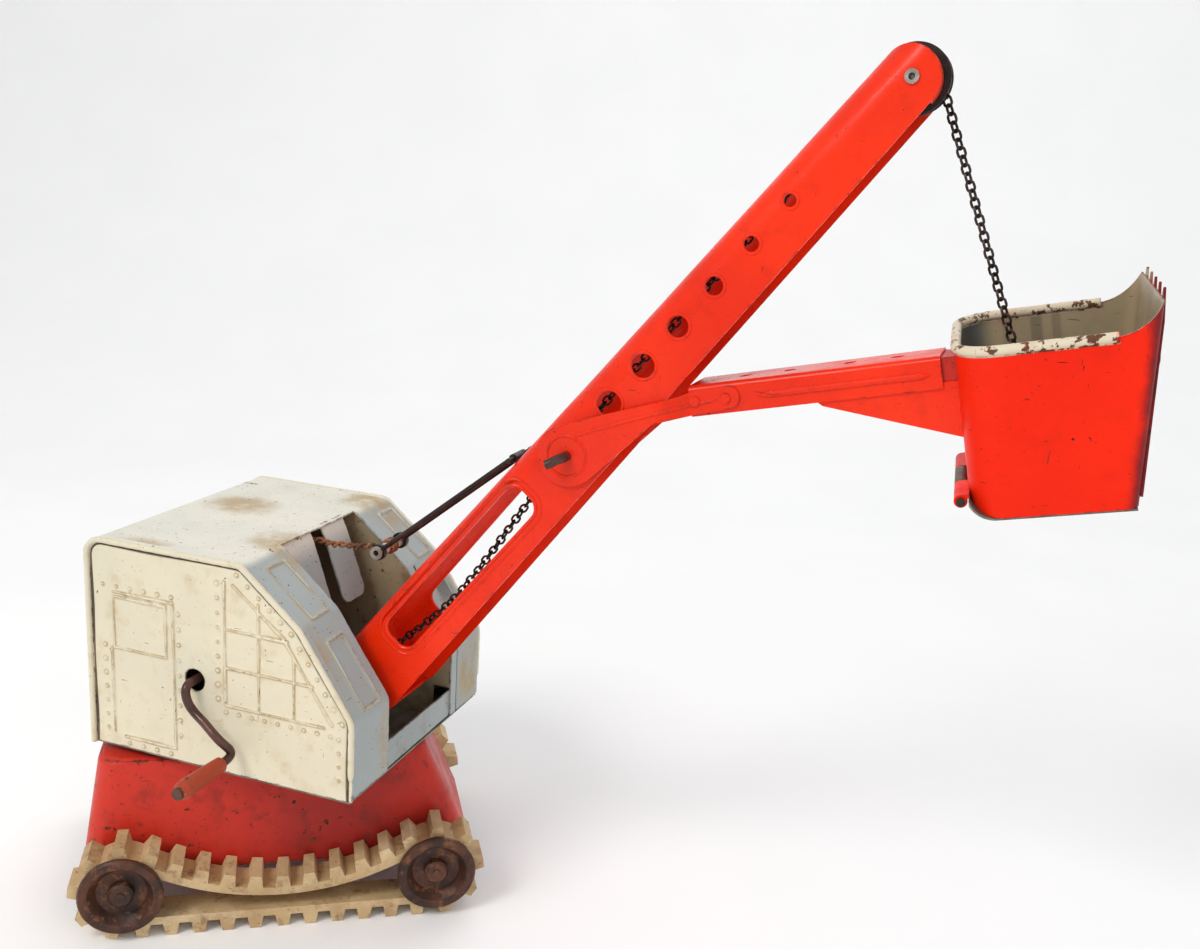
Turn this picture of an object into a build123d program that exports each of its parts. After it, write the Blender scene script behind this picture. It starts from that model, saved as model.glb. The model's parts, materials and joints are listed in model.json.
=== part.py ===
from build123d import *
import math
import os

# Toy power shovel in pressed tin, in millimetres.
# Origin on the ground under the slewing axis. +Z up, +X along the boom, +Y to the operator's left.
# The tracked chassis stands turned under the house, so it has a frame of its own.

# ---- sheet, rods and running fits -------------------------------------------------
SHEET = 0.7
RUNNING_GAP = 0.05
CRANK_ROD_R = 1.75
AXLE_R = 1.75
RIVET_R, RIVET_HEAD_R, RIVET_HEAD = 1.4, 2.6, 0.8

# ---- chassis (own frame: X along the tracks, Y across them) -----------------------
CHASSIS_TURN = 33.0
WHEEL_BASE = 124.0
AXLE_Z = 20.0
SHELL_TOP_Z = 66.0
# The frame origin stands on the ground under the middle of the whole toy, in front of the slewing axis.
SLEW_AXIS_X = -113.0
SHELL_BOTTOM_Z = 19.0
SHELL_TOP_ENDS = (-73.0, 59.0)
SHELL_BOTTOM_ENDS = (-80.0, 79.0)
SHELL_TOP_HALF_WIDTH = 30.0
SHELL_BOTTOM_HALF_WIDTH = 36.0
SHELL_CORNER_R = 10.0
AXLE_SLOT_HALF, AXLE_SLOT_TOP = 3.0, 23.0
BRACKET_HALF_WIDTH = 26.0
BRACKET_EAR_HALF = 7.0
BRACKET_WEBS = ((-66.0, -53.0), (42.0, 55.0))
BRACKET_SHEET = 1.0
BRACKET_RIVET_Y = 15.0

# ---- wheels and rubber tracks -----------------------------------------------------
FLANGE_R = 16.2
DRUM_R = 11.4
DRUM_BORE_R = 10.4
HUB_R = 5.0
WHEEL_INNER_Y = 36.8
WHEEL_OUTER_Y = 56.0
BELT_INNER_R = 11.7
BELT_OUTER_R = 15.0
BELT_INNER_Y = 38.2
BELT_OUTER_Y = 52.8
BELT_SAG_Z = 16.0
LUG_PITCH = 10.8
LUG_ROOT = 6.4
LUG_TIP = 4.2

# ---- slewing pivot ----------------------------------------------------------------
SLEW_POST_R = 5.0
SLEW_BORE_R = 3.5
SLEW_HEAD_R = 8.5
SLEW_WASHER_R = 18.0
SLEW_HEAD = 1.2

# ---- house ------------------------------------------------------------------------
HOUSE_REAR_X = -55.0
HOUSE_FRONT_X = 67.0
HOUSE_HALF_WIDTH = 55.0
HOUSE_BOTTOM_Z = 69.0
ROOF_Z = 157.7
ROOF_FRONT_X = 18.0
SLOPE_BREAK = (44.0, 136.3)
FRONT_TOP_Z = 103.0
BEAD_R = 1.2
WRAP_INSET = 0.35
FIT_GAP = 0.1
PAN_FLANGE = 8.0
RECESS_REAR_X = 17.0
RECESS_RIGHT_Y = -28.0
RECESS_LEFT_Y = 27.5
SKIRT_BOTTOM_Z = 71.5
SKIRT_TOP_Z = 83.0
TONGUE_LEAN = 19.5
RIGHT_TONGUE = (-27.8, -5.0, 47.0)
MIDDLE_TONGUE = (3.0, 20.0, 35.0)
FRAME_RIGHT_Y = -28.2
FRAME_LEFT_Y = 27.7
FRAME_REAR_X = -32.0
FRAME_FOOT = 10.0
FRAME_RIVET_XS, FRAME_RIVET_Y = (-24.0, 36.0), 34.0
FRAME_RIVET_R, FRAME_RIVET_HEAD_R = 1.3, 2.4
PIVOT_PIN_HALF = 31.0
REAR_SLOT = (-53.0, -42.0, 41.5, 42.7)

# ---- winches ----------------------------------------------------------------------
HOIST_X, HOIST_Z = -4.0, 106.0
LUFF_X, LUFF_Z = -14.0, 141.0
CRANK_HOLE_R = 4.7
CRANK_THROW = (20.0, -26.0)
LUFF_THROW = (-14.0, -29.5)
CRANK_ARM_Y = 61.0
CRANK_PIN_Y = 66.0
HANDLE_LENGTH = 25.0
HANDLE_ROOT_R = 3.0
HANDLE_TIP_R = 3.7
SHAFT_TAIL_Y = -31.5
DRUM_CORE_R, DRUM_FLANGE = 5.2, 0.8
HOIST_FLANGE_R, HOIST_DRUM_HALF = 12.0, 9.0
LUFF_FLANGE_R, LUFF_DRUM_HALF = 11.0, 6.0
SPRING_R, SPRING_WIRE_R = 3.2, 0.45
HOIST_SPRING_SPAN, HOIST_SPRING_TURNS = (-26.6, -11.4), 5
LUFF_SPRING_SPAN, LUFF_SPRING_TURNS = (8.4, 26.6), 6

# ---- boom (own frame: X along the boom from its pivot, Z towards its back) --------
BOOM_PIVOT_X, BOOM_PIVOT_Z = 54.0, 104.0
BOOM_ANGLE = 52.0
BOOM_PIN_R = 2.0
BOOM_BACK_Z, BOOM_BACK_SLOPE = 17.7, -0.0124
BOOM_LIP_Z, BOOM_LIP_SLOPE = -13.4, 0.0196
BOOM_STATIONS = ((-14.0, 21.0, 7.0), (150.0, 14.0, 9.5), (313.0, 12.8, 11.0))
BOOM_TIP_X = 300.0
BOOM_TIP_Z = 3.25
BOOM_TIP_R = 10.75
SLOT_START, SLOT_END = 21.5, 105.5
SLOT_LOW, SLOT_HIGH = -2.8, 11.0
SLOT_CORNER_R = 5.0
HOLE_Z, HOLE_SLOPE = 4.0, 0.006
FOOT_CUT_HALF = 6.5
HOLE_SPACING = 19.0
FIRST_HOLE_X = 153.5
HOLE_RADII = (4.6, 4.3, 3.8, 3.2, 2.6, 2.1)
ARM_PIN_X, ARM_PIN_Z = 128.5, 2.5
ARM_PIN_R = 1.8
TIP_PIN_X, TIP_PIN_Z = 301.5, 2.2
TIP_PIN_R, TIP_PIN_HEAD_R = 1.9, 2.3
TIP_PIN_BORE_R = 1.1
TIP_PIN_HALF = 13.1
MOUTH_GAP = 0.8
SHEAVE_R = 11.3
SHEAVE_GROOVE_R = 5.2
SHEAVE_HALF_WIDTH = 4.0
CHAIN_TURN_R = 7.4

# ---- stay between the boom and the luffing winch ----------------------------------
STAY_HALF_WIDTH = 9.0
STAY_ANCHOR_X, STAY_ANCHOR_Z = 107.0, 18.0
STAY_WIRE_R = 1.0
CROSS_TUBE = (50.4, 154.6)
CROSS_TUBE_R = 2.1
CORD_R = 1.0
CORD_TAIL = 95.0
CORD_HALF_SPREAD = 1.05
CORD_OVER_DRUM = (3.0, 8.8)

# ---- dipper arm and bucket (own frame: X along the arm from its pin, Z up) --------
ARM_ANGLE = 13.5
ARM_START_X, ARM_END_X = 48.0, 134.0
ARM_TOP_Z, ARM_LOW_Z = 19.3, 8.5
ARM_HALF_WIDTH = 12.4
ARM_HOLE_XS = (66.0, 82.0, 103.0, 119.0)
ARM_HOLE_R = 2.2
YOKE_Y = 16.1
YOKE_SHEET = 0.8
YOKE_ROUND_R = 11.4
YOKE_JOGGLE = (36.0, 48.0)
YOKE_RIVET_XS, YOKE_RIVET_Z = (50.0, 61.0), 13.8
YOKE_RIVET_R, YOKE_RIVET_HEAD_R = 1.1, 1.9
BUCKET_REAR_X = 138.2
BUCKET_LOW_Z = -31.0
BUCKET_RIM_Z = 24.0
BUCKET_PEAK_Z = 33.0
BUCKET_TOP_Z = 36.0
BUCKET_FRONT_LOW_X, BUCKET_FRONT_TOP_X = 188.7, 199.6
BUCKET_LOW_HALF_WIDTH, BUCKET_TOP_HALF_WIDTH = 28.0, 30.0
BUCKET_REAR_CORNER_R, BUCKET_FRONT_CORNER_R = 13.0, 4.0
BUCKET_ROLL, BUCKET_DIP, BUCKET_YAW = 5.5, 1.0, 3.0
SEAT_GAP, SEAT_TRIM = 0.05, 2.5
FOLD_GAP = 0.15
RIM_BEAD_R = 1.6
TOOTH_COUNT = 5
TOOTH_PITCH = 10.0
TOOTH_ROOT_Z, TOOTH_TIP_Z = 27.0, 36.5
TOOTH_PLATE_SHEET = 0.8
TOOTH_RIVET_YS, TOOTH_RIVET_Z = (-16.0, 16.0), 13.0
TOOTH_RIVET_R, TOOTH_RIVET_HEAD_R = 1.2, 2.3
HEEL_R = 8.3
DOOR_GAP = 0.2
DOOR_PIN_X, DOOR_PIN_Z = 135.6, -25.5
DOOR_PIN_R = 0.9
DOOR_KNUCKLE_R = 2.2
DOOR_KNUCKLE_HALF = 8.0
SHELL_KNUCKLES = ((-24.0, -8.2), (8.2, 24.0))
DOOR_PIN_HALF = 24.5
CHAIN_ROD_X, CHAIN_ROD_Z = 158.2, 6.5
CHAIN_ROD_R = 1.2

# ---- chain ------------------------------------------------------------------------
LINK_PITCH = 3.0
LINK_WIRE_R = 0.42
LINK_WIDTH = 3.6
CHAIN_END_GAP = 2.4
HIDDEN_CHAIN_R = 1.3


# ====================================================================================
# helpers
# ====================================================================================
def side_slab(sketch, y_low, y_high):
    """Solid with the sketch as its side view (X, Z), between two Y planes."""
    return extrude(Plane.XZ.offset(-y_high) * sketch, amount=y_high - y_low)


def outline(points, radius_by_corner=None):
    """Closed face through the points, with some of its corners rounded."""
    face = make_face(Polyline(*points, close=True))
    for index, radius in (radius_by_corner or {}).items():
        corner = Vector(*points[index])
        vertex = min(face.vertices(), key=lambda v: (Vector(v.X, v.Y) - corner).length)
        face = fillet(vertex, radius)
    return face


def y_rod(x, z, radius, y_low, y_high, bore=0.0):
    """Round rod or tube along Y."""
    section = Pos(x, z) * Circle(radius)
    if bore:
        section -= Pos(x, z) * Circle(bore)
    return side_slab(section, y_low, y_high)


def box(x_low, x_high, y_low, y_high, z_low, z_high):
    size = (x_high - x_low, y_high - y_low, z_high - z_low)
    centre = ((x_low + x_high) / 2, (y_low + y_high) / 2, (z_low + z_high) / 2)
    return Pos(*centre) * Box(*size)


def wire_rod(path, radius):
    """Round wire bent along a path."""
    start = Plane(origin=path @ 0, z_dir=path % 0)
    return sweep(start * Circle(radius), path=path)


def chain_run(path):
    """Links along a path, every other link turned by a quarter."""
    straight = LINK_PITCH + 2 * LINK_WIRE_R - LINK_WIDTH
    bend_r = LINK_WIDTH / 2 - LINK_WIRE_R
    straight_half = max(straight, 0.6) / 2
    loop = SlotCenterToCenter(2 * straight_half, 2 * bend_r).wire()
    start = Plane(origin=loop @ 0, z_dir=loop % 0)
    link = sweep(start * Circle(LINK_WIRE_R), path=loop)
    count = int(path.length / LINK_PITCH)
    links = []
    for i in range(count):
        at = (i + 0.5) / count
        along = path % at
        face_dir = Vector(0, 1, 0) if i % 2 == 0 else along.cross(Vector(0, 1, 0))
        place = Plane(origin=path @ at, x_dir=along, z_dir=face_dir).location
        links.append(place * link)
    return Compound(links)


def friction_spring(x, z, span, turns):
    """Coil spring along Y, round a winch shaft."""
    y_low, y_high = span
    coil = Helix(pitch=(y_high - y_low) / turns, height=y_high - y_low, radius=SPRING_R)
    start = Plane(origin=coil @ 0, z_dir=coil % 0)
    spring = sweep(start * Circle(SPRING_WIRE_R), path=coil, is_frenet=True)
    return Pos(x, y_low, z) * Rot(-90, 0, 0) * spring


chassis_frame = Location((0, 0, 0), (0, 0, CHASSIS_TURN))
boom_frame = Location((BOOM_PIVOT_X, 0, BOOM_PIVOT_Z), (0, -BOOM_ANGLE, 0))


def boom_point(x, z):
    """World X and Z of a point given in the boom's own frame."""
    turn = math.radians(BOOM_ANGLE)
    world_x = BOOM_PIVOT_X + x * math.cos(turn) - z * math.sin(turn)
    world_z = BOOM_PIVOT_Z + x * math.sin(turn) + z * math.cos(turn)
    return world_x, world_z


ARM_X, ARM_Z = boom_point(ARM_PIN_X, ARM_PIN_Z)
arm_frame = Location((ARM_X, 0, ARM_Z), (0, -ARM_ANGLE, 0))


# the bucket sits a little crooked on the arm, turned about the middle of its rear wall
bucket_tilt = (Pos(BUCKET_REAR_X, 0, CHAIN_ROD_Z)
               * Rot(0, 0, BUCKET_YAW) * Rot(0, BUCKET_DIP, 0) * Rot(BUCKET_ROLL, 0, 0)
               * Pos(-BUCKET_REAR_X, 0, -CHAIN_ROD_Z))
bucket_frame = arm_frame * bucket_tilt


# ====================================================================================
# chassis
# ====================================================================================
def shell_body(inset, z_low, z_high):
    """Tapered block with rounded corners, all faces moved in by the inset."""
    sections = []
    span = SHELL_TOP_Z - SHELL_BOTTOM_Z
    for z in (z_low, z_high):
        up = (z - SHELL_BOTTOM_Z) / span
        rear = SHELL_BOTTOM_ENDS[0] + up * (SHELL_TOP_ENDS[0] - SHELL_BOTTOM_ENDS[0]) + inset
        front = SHELL_BOTTOM_ENDS[1] + up * (SHELL_TOP_ENDS[1] - SHELL_BOTTOM_ENDS[1]) - inset
        half = (SHELL_BOTTOM_HALF_WIDTH - inset
                + up * (SHELL_TOP_HALF_WIDTH - SHELL_BOTTOM_HALF_WIDTH))
        flat = RectangleRounded(front - rear, 2 * half, SHELL_CORNER_R - inset)
        sections.append(Pos((rear + front) / 2, 0, z) * flat)
    return loft(sections)


def chassis_shell():
    """Deep tapered cover, open below, with a slot in each side where an axle passes."""
    outer = shell_body(0, SHELL_BOTTOM_Z, SHELL_TOP_Z)
    outer = fillet(outer.edges().group_by(Axis.Z)[-1], 3.0)
    inner = shell_body(SHEET, SHELL_BOTTOM_Z - 1, SHELL_TOP_Z - SHEET)
    shell = outer - inner - Cylinder(SLEW_POST_R, 3 * SHELL_TOP_Z)
    for axle_x in (-WHEEL_BASE / 2, WHEEL_BASE / 2):
        shell -= box(axle_x - AXLE_SLOT_HALF, axle_x + AXLE_SLOT_HALF, -50, 50,
                     SHELL_BOTTOM_Z - 2, AXLE_SLOT_TOP)
    return shell


def axle_bracket(axle_x, web_span):
    """Inverted U of sheet under the shell's top, with an axle hole in each ear."""
    top = SHELL_TOP_Z - SHEET
    web_rear, web_front = web_span
    ear_rear, ear_front = axle_x - BRACKET_EAR_HALF, axle_x + BRACKET_EAR_HALF
    web = box(web_rear, web_front, -BRACKET_HALF_WIDTH, BRACKET_HALF_WIDTH,
              top - BRACKET_SHEET, top)
    ear_face = outline([(ear_rear, AXLE_Z - 7), (ear_front, AXLE_Z - 7),
                        (ear_front, AXLE_Z + 8), (web_front, top), (web_rear, top),
                        (ear_rear, AXLE_Z + 8)], {0: 6.0, 1: 6.0})
    ear_face -= Pos(axle_x, AXLE_Z) * Circle(AXLE_R + RUNNING_GAP)
    right_ear = side_slab(ear_face, -BRACKET_HALF_WIDTH, -BRACKET_HALF_WIDTH + BRACKET_SHEET)
    left_ear = side_slab(ear_face, BRACKET_HALF_WIDTH - BRACKET_SHEET, BRACKET_HALF_WIDTH)
    return web + right_ear + left_ear


def bracket_rivet_places():
    return [((rear + front) / 2, y) for rear, front in BRACKET_WEBS
            for y in (-BRACKET_RIVET_Y, BRACKET_RIVET_Y)]


def bracket_rivets():
    """Four dome rivets that hold the two axle brackets under the shell's top."""
    rivets = []
    for x, y in bracket_rivet_places():
        shank = Cylinder(RIVET_R, SHEET + BRACKET_SHEET + 1.0,
                         align=(Align.CENTER, Align.CENTER, Align.MAX))
        head = Cylinder(RIVET_HEAD_R, RIVET_HEAD,
                        align=(Align.CENTER, Align.CENTER, Align.MIN))
        rivets.append((Pos(x, y, SHELL_TOP_Z) * (shank + head)).solid())
    return Compound(rivets)


def with_bracket_rivet_holes(shape):
    for x, y in bracket_rivet_places():
        shape -= Pos(x, y, SHELL_TOP_Z) * Cylinder(RIVET_R, 20)
    return shape


def slew_post():
    """Tubular rivet: flange under the chassis, head above the house's base pan."""
    top = HOUSE_BOTTOM_Z + SHEET + RUNNING_GAP
    low = SHELL_TOP_Z - SHEET
    post = Pos(0, 0, low - 1) * Cylinder(SLEW_POST_R, top + SLEW_HEAD - low + 1,
                                         align=(Align.CENTER, Align.CENTER, Align.MIN))
    flange = Pos(0, 0, low - 1) * Cylinder(SLEW_HEAD_R, 1,
                                           align=(Align.CENTER, Align.CENTER, Align.MIN))
    head = Pos(0, 0, top) * Cylinder(SLEW_HEAD_R, SLEW_HEAD,
                                     align=(Align.CENTER, Align.CENTER, Align.MIN))
    return post + flange + head - Cylinder(SLEW_BORE_R, 3 * SHELL_TOP_Z)


def slew_washer():
    thickness = HOUSE_BOTTOM_Z - RUNNING_GAP - SHELL_TOP_Z
    ring = Cylinder(SLEW_WASHER_R, thickness, align=(Align.CENTER, Align.CENTER, Align.MIN))
    return Pos(0, 0, SHELL_TOP_Z) * ring - Cylinder(SLEW_POST_R, 3 * SHELL_TOP_Z)


# ====================================================================================
# wheels and tracks
# ====================================================================================
def axle(centre_x):
    return y_rod(centre_x, AXLE_Z, AXLE_R, -WHEEL_OUTER_Y + 0.4, WHEEL_OUTER_Y - 0.4)


def wheel(centre_x, side):
    """Cup-shaped wheel: outer flange, recessed face, hub boss, drum and inner lip."""
    profile = make_face(Polyline(
        (AXLE_R, 45), (AXLE_R, 55.2), (HUB_R - 1, 55.2), (HUB_R, 54.2), (HUB_R, 51.5),
        (9.6, 51.5), (12.4, WHEEL_OUTER_Y - 0.4), (13.2, WHEEL_OUTER_Y),
        (FLANGE_R - 0.6, WHEEL_OUTER_Y), (FLANGE_R, WHEEL_OUTER_Y - 0.8),
        (FLANGE_R, 53.8), (FLANGE_R - 0.4, 53.4), (DRUM_R, 53.2), (DRUM_R, 37.8),
        (13.4, 37.8), (13.4, WHEEL_INNER_Y), (DRUM_BORE_R - 0.6, WHEEL_INNER_Y),
        (DRUM_BORE_R - 0.6, 50.6), (HUB_R, 50.6), (HUB_R, 45), close=True))
    turned = revolve(Plane.XY * profile, axis=Axis.Y)
    if side < 0:
        turned = mirror(turned, about=Plane.XZ)
    return Pos(centre_x, 0, AXLE_Z) * turned


def belt_outline(radius):
    """Closed side view of the belt at one distance from the wheel centres.

    Straight along the ground, round both wheels, and hanging in an arc between them.
    """
    half = WHEEL_BASE / 2
    middle_r = (BELT_INNER_R + BELT_OUTER_R) / 2
    drop = AXLE_Z - BELT_SAG_Z
    sag_r = (half ** 2 + drop ** 2 - middle_r ** 2) / (2 * (drop + middle_r))
    arc_centre_z = BELT_SAG_Z + sag_r
    reach = sag_r + middle_r
    lean = math.atan2(arc_centre_z - AXLE_Z, half)
    leave = (half - radius * math.cos(lean), AXLE_Z + radius * math.sin(lean))
    ground = AXLE_Z - radius
    swing = (math.pi - lean - math.pi / 2) / 2
    outer = (half + radius * math.cos(swing), AXLE_Z + radius * math.sin(swing))
    lowest = (0, arc_centre_z - (reach - radius))
    return [
        Line((0, ground), (half, ground)),
        ThreePointArc((half, ground), outer, leave),
        ThreePointArc(leave, lowest, (-leave[0], leave[1])),
        ThreePointArc((-leave[0], leave[1]), (-outer[0], outer[1]), (-half, ground)),
        Line((-half, ground), (0, ground)),
    ]


def track(side):
    """Rubber belt with trapezoid lugs all round."""
    outer_wire = Wire(belt_outline(BELT_OUTER_R))
    belt = make_face(belt_outline(BELT_OUTER_R)) - make_face(belt_outline(BELT_INNER_R))
    lug_height = AXLE_Z - BELT_OUTER_R
    lug = make_face(Polyline((-LUG_ROOT / 2, 0.4), (LUG_ROOT / 2, 0.4),
                             (LUG_TIP / 2, -lug_height), (-LUG_TIP / 2, -lug_height), close=True))
    count = round(outer_wire.length / LUG_PITCH)
    for i in range(count):
        at = outer_wire @ (i / count)
        along = outer_wire % (i / count)
        turn = math.degrees(math.atan2(along.Y, along.X))
        belt += Pos(at.X, at.Y) * Rot(0, 0, turn) * lug
    y_low, y_high = sorted((side * BELT_INNER_Y, side * BELT_OUTER_Y))
    return side_slab(belt, y_low, y_high)


# ====================================================================================
# house
# ====================================================================================
def house_outline(inset=0.0, bottom=HOUSE_BOTTOM_Z):
    """Side view of the house, moved in by the inset on all sides but the bottom."""
    corners = [(HOUSE_REAR_X, bottom - 20), (HOUSE_REAR_X, ROOF_Z), (ROOF_FRONT_X, ROOF_Z),
               SLOPE_BREAK, (HOUSE_FRONT_X, FRONT_TOP_Z), (HOUSE_FRONT_X, bottom - 20)]
    face = outline(corners, {1: 8.0, 2: 6.0, 3: 10.0, 4: 8.0})
    if inset:
        face = offset(face, amount=-inset)
    below = Pos(0, bottom - 50) * Rectangle(300, 100)
    return face - below


def side_panel(side):
    """Flat side with a rolled bead round its rear, roof and front edges."""
    plate = side_slab(house_outline(0.3), HOUSE_HALF_WIDTH - SHEET, HOUSE_HALF_WIDTH)
    ring = house_outline() - house_outline(2 * BEAD_R, HOUSE_BOTTOM_Z - 10)
    bead = side_slab(ring, HOUSE_HALF_WIDTH - SHEET, HOUSE_HALF_WIDTH + BEAD_R)
    bead = fillet(bead.edges().group_by(Axis.Y)[-1].filter_by(
        lambda e: abs((e @ 0.5).Z - HOUSE_BOTTOM_Z) > 0.1), BEAD_R - 0.15)
    panel = plate + bead
    if side < 0:
        panel -= y_rod(HOIST_X, HOIST_Z, CRANK_HOLE_R, 40, 70)
        return mirror(panel, about=Plane.XZ)
    return panel - y_rod(LUFF_X, LUFF_Z, CRANK_HOLE_R, 40, 70)


def tongue(y_low, y_high, length):
    """Strip of the roof bent down into the recess, with rounded lower corners."""
    flat = outline([(y_low, 0), (y_high, 0), (y_high, -length), (y_low, -length)],
                   {2: 4.0, 3: 4.0})
    strip = extrude(Plane.YZ * flat, amount=SHEET)
    place = Pos(RECESS_REAR_X - SHEET, 0, ROOF_Z - 0.4 - SHEET / 2)
    return place * Rot(0, -TONGUE_LEAN, 0) * strip


def roof_wrap():
    """One sheet bent round the rear, roof and front, cut open for the boom."""
    ring = house_outline(WRAP_INSET) - house_outline(WRAP_INSET + SHEET, HOUSE_BOTTOM_Z - 10)
    inner_y = HOUSE_HALF_WIDTH - SHEET - 0.05
    wrap = side_slab(ring, -inner_y, inner_y)
    wrap -= box(RECESS_REAR_X, 80, RECESS_RIGHT_Y, RECESS_LEFT_Y, HOUSE_BOTTOM_Z - 1, ROOF_Z + 1)
    wrap -= box(60, 80, -60, 60, HOUSE_BOTTOM_Z - 1, SKIRT_BOTTOM_Z)
    wrap -= box(*REAR_SLOT, ROOF_Z - 5, ROOF_Z + 5)
    return wrap + tongue(*RIGHT_TONGUE) + tongue(*MIDDLE_TONGUE)


def front_skirt():
    """Strip across the foot of the recess, behind the two front columns."""
    rear = HOUSE_FRONT_X - WRAP_INSET - 2 * SHEET - FIT_GAP
    strip = box(rear, rear + SHEET, -50, 50, SKIRT_BOTTOM_Z, SKIRT_TOP_Z)
    foot = box(rear - 6, rear, -50, 50, SKIRT_BOTTOM_Z, SKIRT_BOTTOM_Z + SHEET)
    return strip + foot


def base_pan():
    """Floor of the house with its edges turned up inside the side panels and the rear."""
    half = HOUSE_HALF_WIDTH - SHEET - FIT_GAP
    rear = HOUSE_REAR_X + WRAP_INSET + SHEET + FIT_GAP
    front = HOUSE_FRONT_X - WRAP_INSET - 2 * SHEET - 2 * FIT_GAP
    z0 = HOUSE_BOTTOM_Z
    pan = box(rear, front, -half, half, z0, z0 + SHEET)
    pan += box(rear, rear + SHEET, -half, half, z0, z0 + PAN_FLANGE)
    for side in (-1, 1):
        y_low, y_high = sorted((side * half, side * (half - SHEET)))
        pan += box(rear, front - 8, y_low, y_high, z0, z0 + PAN_FLANGE)
    return pan - Cylinder(SLEW_POST_R + RUNNING_GAP, 3 * z0)


def winch_frame(side):
    """Upright plate beside the recess: carries both winch shafts and the boom's pivot."""
    foot_z = HOUSE_BOTTOM_Z + SHEET + 0.05
    inner_y = FRAME_LEFT_Y if side > 0 else -FRAME_RIGHT_Y
    clear = WRAP_INSET + SHEET + 2 * FIT_GAP
    face = house_outline(clear, foot_z) - Pos(FRAME_REAR_X - 50, 100) * Rectangle(100, 200)
    face -= Pos(HOUSE_FRONT_X - 2, foot_z) * Rectangle(14, 2 * (SKIRT_TOP_Z + 1 - foot_z))
    plate = side_slab(face, inner_y, inner_y + SHEET)
    plate += box(FRAME_REAR_X, 56, inner_y, inner_y + FRAME_FOOT, foot_z, foot_z + SHEET)
    plate -= y_rod(BOOM_PIVOT_X, BOOM_PIVOT_Z, BOOM_PIN_R, 20, 40)
    plate -= y_rod(HOIST_X, HOIST_Z, CRANK_ROD_R + RUNNING_GAP, 20, 40)
    plate -= y_rod(LUFF_X, LUFF_Z, CRANK_ROD_R + RUNNING_GAP, 20, 40)
    return plate if side > 0 else mirror(plate, about=Plane.XZ)


def frame_rivet_places():
    return [(x, y) for x in FRAME_RIVET_XS for y in (-FRAME_RIVET_Y, FRAME_RIVET_Y)]


def frame_rivets():
    """Rivets through the feet of the winch frame plates and the base pan."""
    grip = 2 * SHEET + 0.05
    rivets = []
    for x, y in frame_rivet_places():
        shank = Cylinder(FRAME_RIVET_R, grip, align=(Align.CENTER, Align.CENTER, Align.MIN))
        head = Cylinder(FRAME_RIVET_HEAD_R, RIVET_HEAD,
                        align=(Align.CENTER, Align.CENTER, Align.MIN))
        rivets.append((Pos(x, y, HOUSE_BOTTOM_Z) * (shank + Pos(0, 0, grip) * head)).solid())
    return Compound(rivets)


def with_frame_rivet_holes(shape):
    for x, y in frame_rivet_places():
        shape -= Pos(x, y, HOUSE_BOTTOM_Z) * Cylinder(FRAME_RIVET_R, 20)
    return shape


def boom_pivot_pin():
    half = PIVOT_PIN_HALF
    pin = y_rod(BOOM_PIVOT_X, BOOM_PIVOT_Z, BOOM_PIN_R, -half, half)
    for y_low, y_high in ((-half - 1, -half), (half, half + 1)):
        pin += y_rod(BOOM_PIVOT_X, BOOM_PIVOT_Z, BOOM_PIN_R + 1.2, y_low, y_high)
    return pin


# ====================================================================================
# winches
# ====================================================================================
def crank(x, z, throw):
    """Bent wire: winch shaft, S-shaped arm and handle pin, with the arm on the +Y side."""
    dx, dz = throw
    shaft = Line((x, SHAFT_TAIL_Y, z), (x, CRANK_ARM_Y - 4, z))
    arm = Spline([(x, CRANK_ARM_Y - 4, z),
                  (x + 0.06 * dx, CRANK_ARM_Y, z + 0.22 * dz),
                  (x + 0.45 * dx, CRANK_ARM_Y + 1, z + 0.48 * dz),
                  (x + 0.94 * dx, CRANK_ARM_Y + 1, z + 0.78 * dz),
                  (x + dx, CRANK_PIN_Y - 1, z + dz)],
                 tangents=[(0, 1, 0), (0, 1, 0)])
    pin = Line((x + dx, CRANK_PIN_Y - 1, z + dz),
               (x + dx, CRANK_PIN_Y + HANDLE_LENGTH + 1.2, z + dz))
    rod = wire_rod(Wire([shaft, arm, pin]), CRANK_ROD_R)
    tail = y_rod(x, z, CRANK_ROD_R + 1, SHAFT_TAIL_Y, SHAFT_TAIL_Y + 1)
    end = CRANK_PIN_Y + HANDLE_LENGTH
    peened = y_rod(x + dx, z + dz, CRANK_ROD_R + 0.5, end + 0.2, end + 1.2)
    return rod + tail + peened


def handle(x, z, throw):
    """Tapered grip that turns on the crank's pin, with rounded ends."""
    reach = HANDLE_LENGTH
    bore_r = CRANK_ROD_R + RUNNING_GAP
    profile = make_face([
        Line((bore_r, 0), (HANDLE_ROOT_R - 0.5, 0)),
        Line((HANDLE_ROOT_R - 0.5, 0), (HANDLE_ROOT_R, 0.6)),
        Spline([(HANDLE_ROOT_R, 0.6), (HANDLE_TIP_R - 0.2, reach * 0.55),
                (HANDLE_TIP_R, reach - 2.5)]),
        Line((HANDLE_TIP_R, reach - 2.5), (HANDLE_TIP_R - 1.1, reach)),
        Line((HANDLE_TIP_R - 1.1, reach), (bore_r, reach)),
        Line((bore_r, reach), (bore_r, 0)),
    ])
    grip = revolve(Plane.XY * profile, axis=Axis.Y)
    return Pos(x + throw[0], CRANK_PIN_Y, z + throw[1]) * grip


def drum(x, z, flange_r, half_width):
    """Winding drum with two flanges, pressed on its shaft."""
    spool = y_rod(x, z, DRUM_CORE_R, -half_width, half_width, CRANK_ROD_R)
    for y_low in (-half_width - DRUM_FLANGE, half_width):
        spool += y_rod(x, z, flange_r, y_low, y_low + DRUM_FLANGE, CRANK_ROD_R)
    return spool


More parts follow.
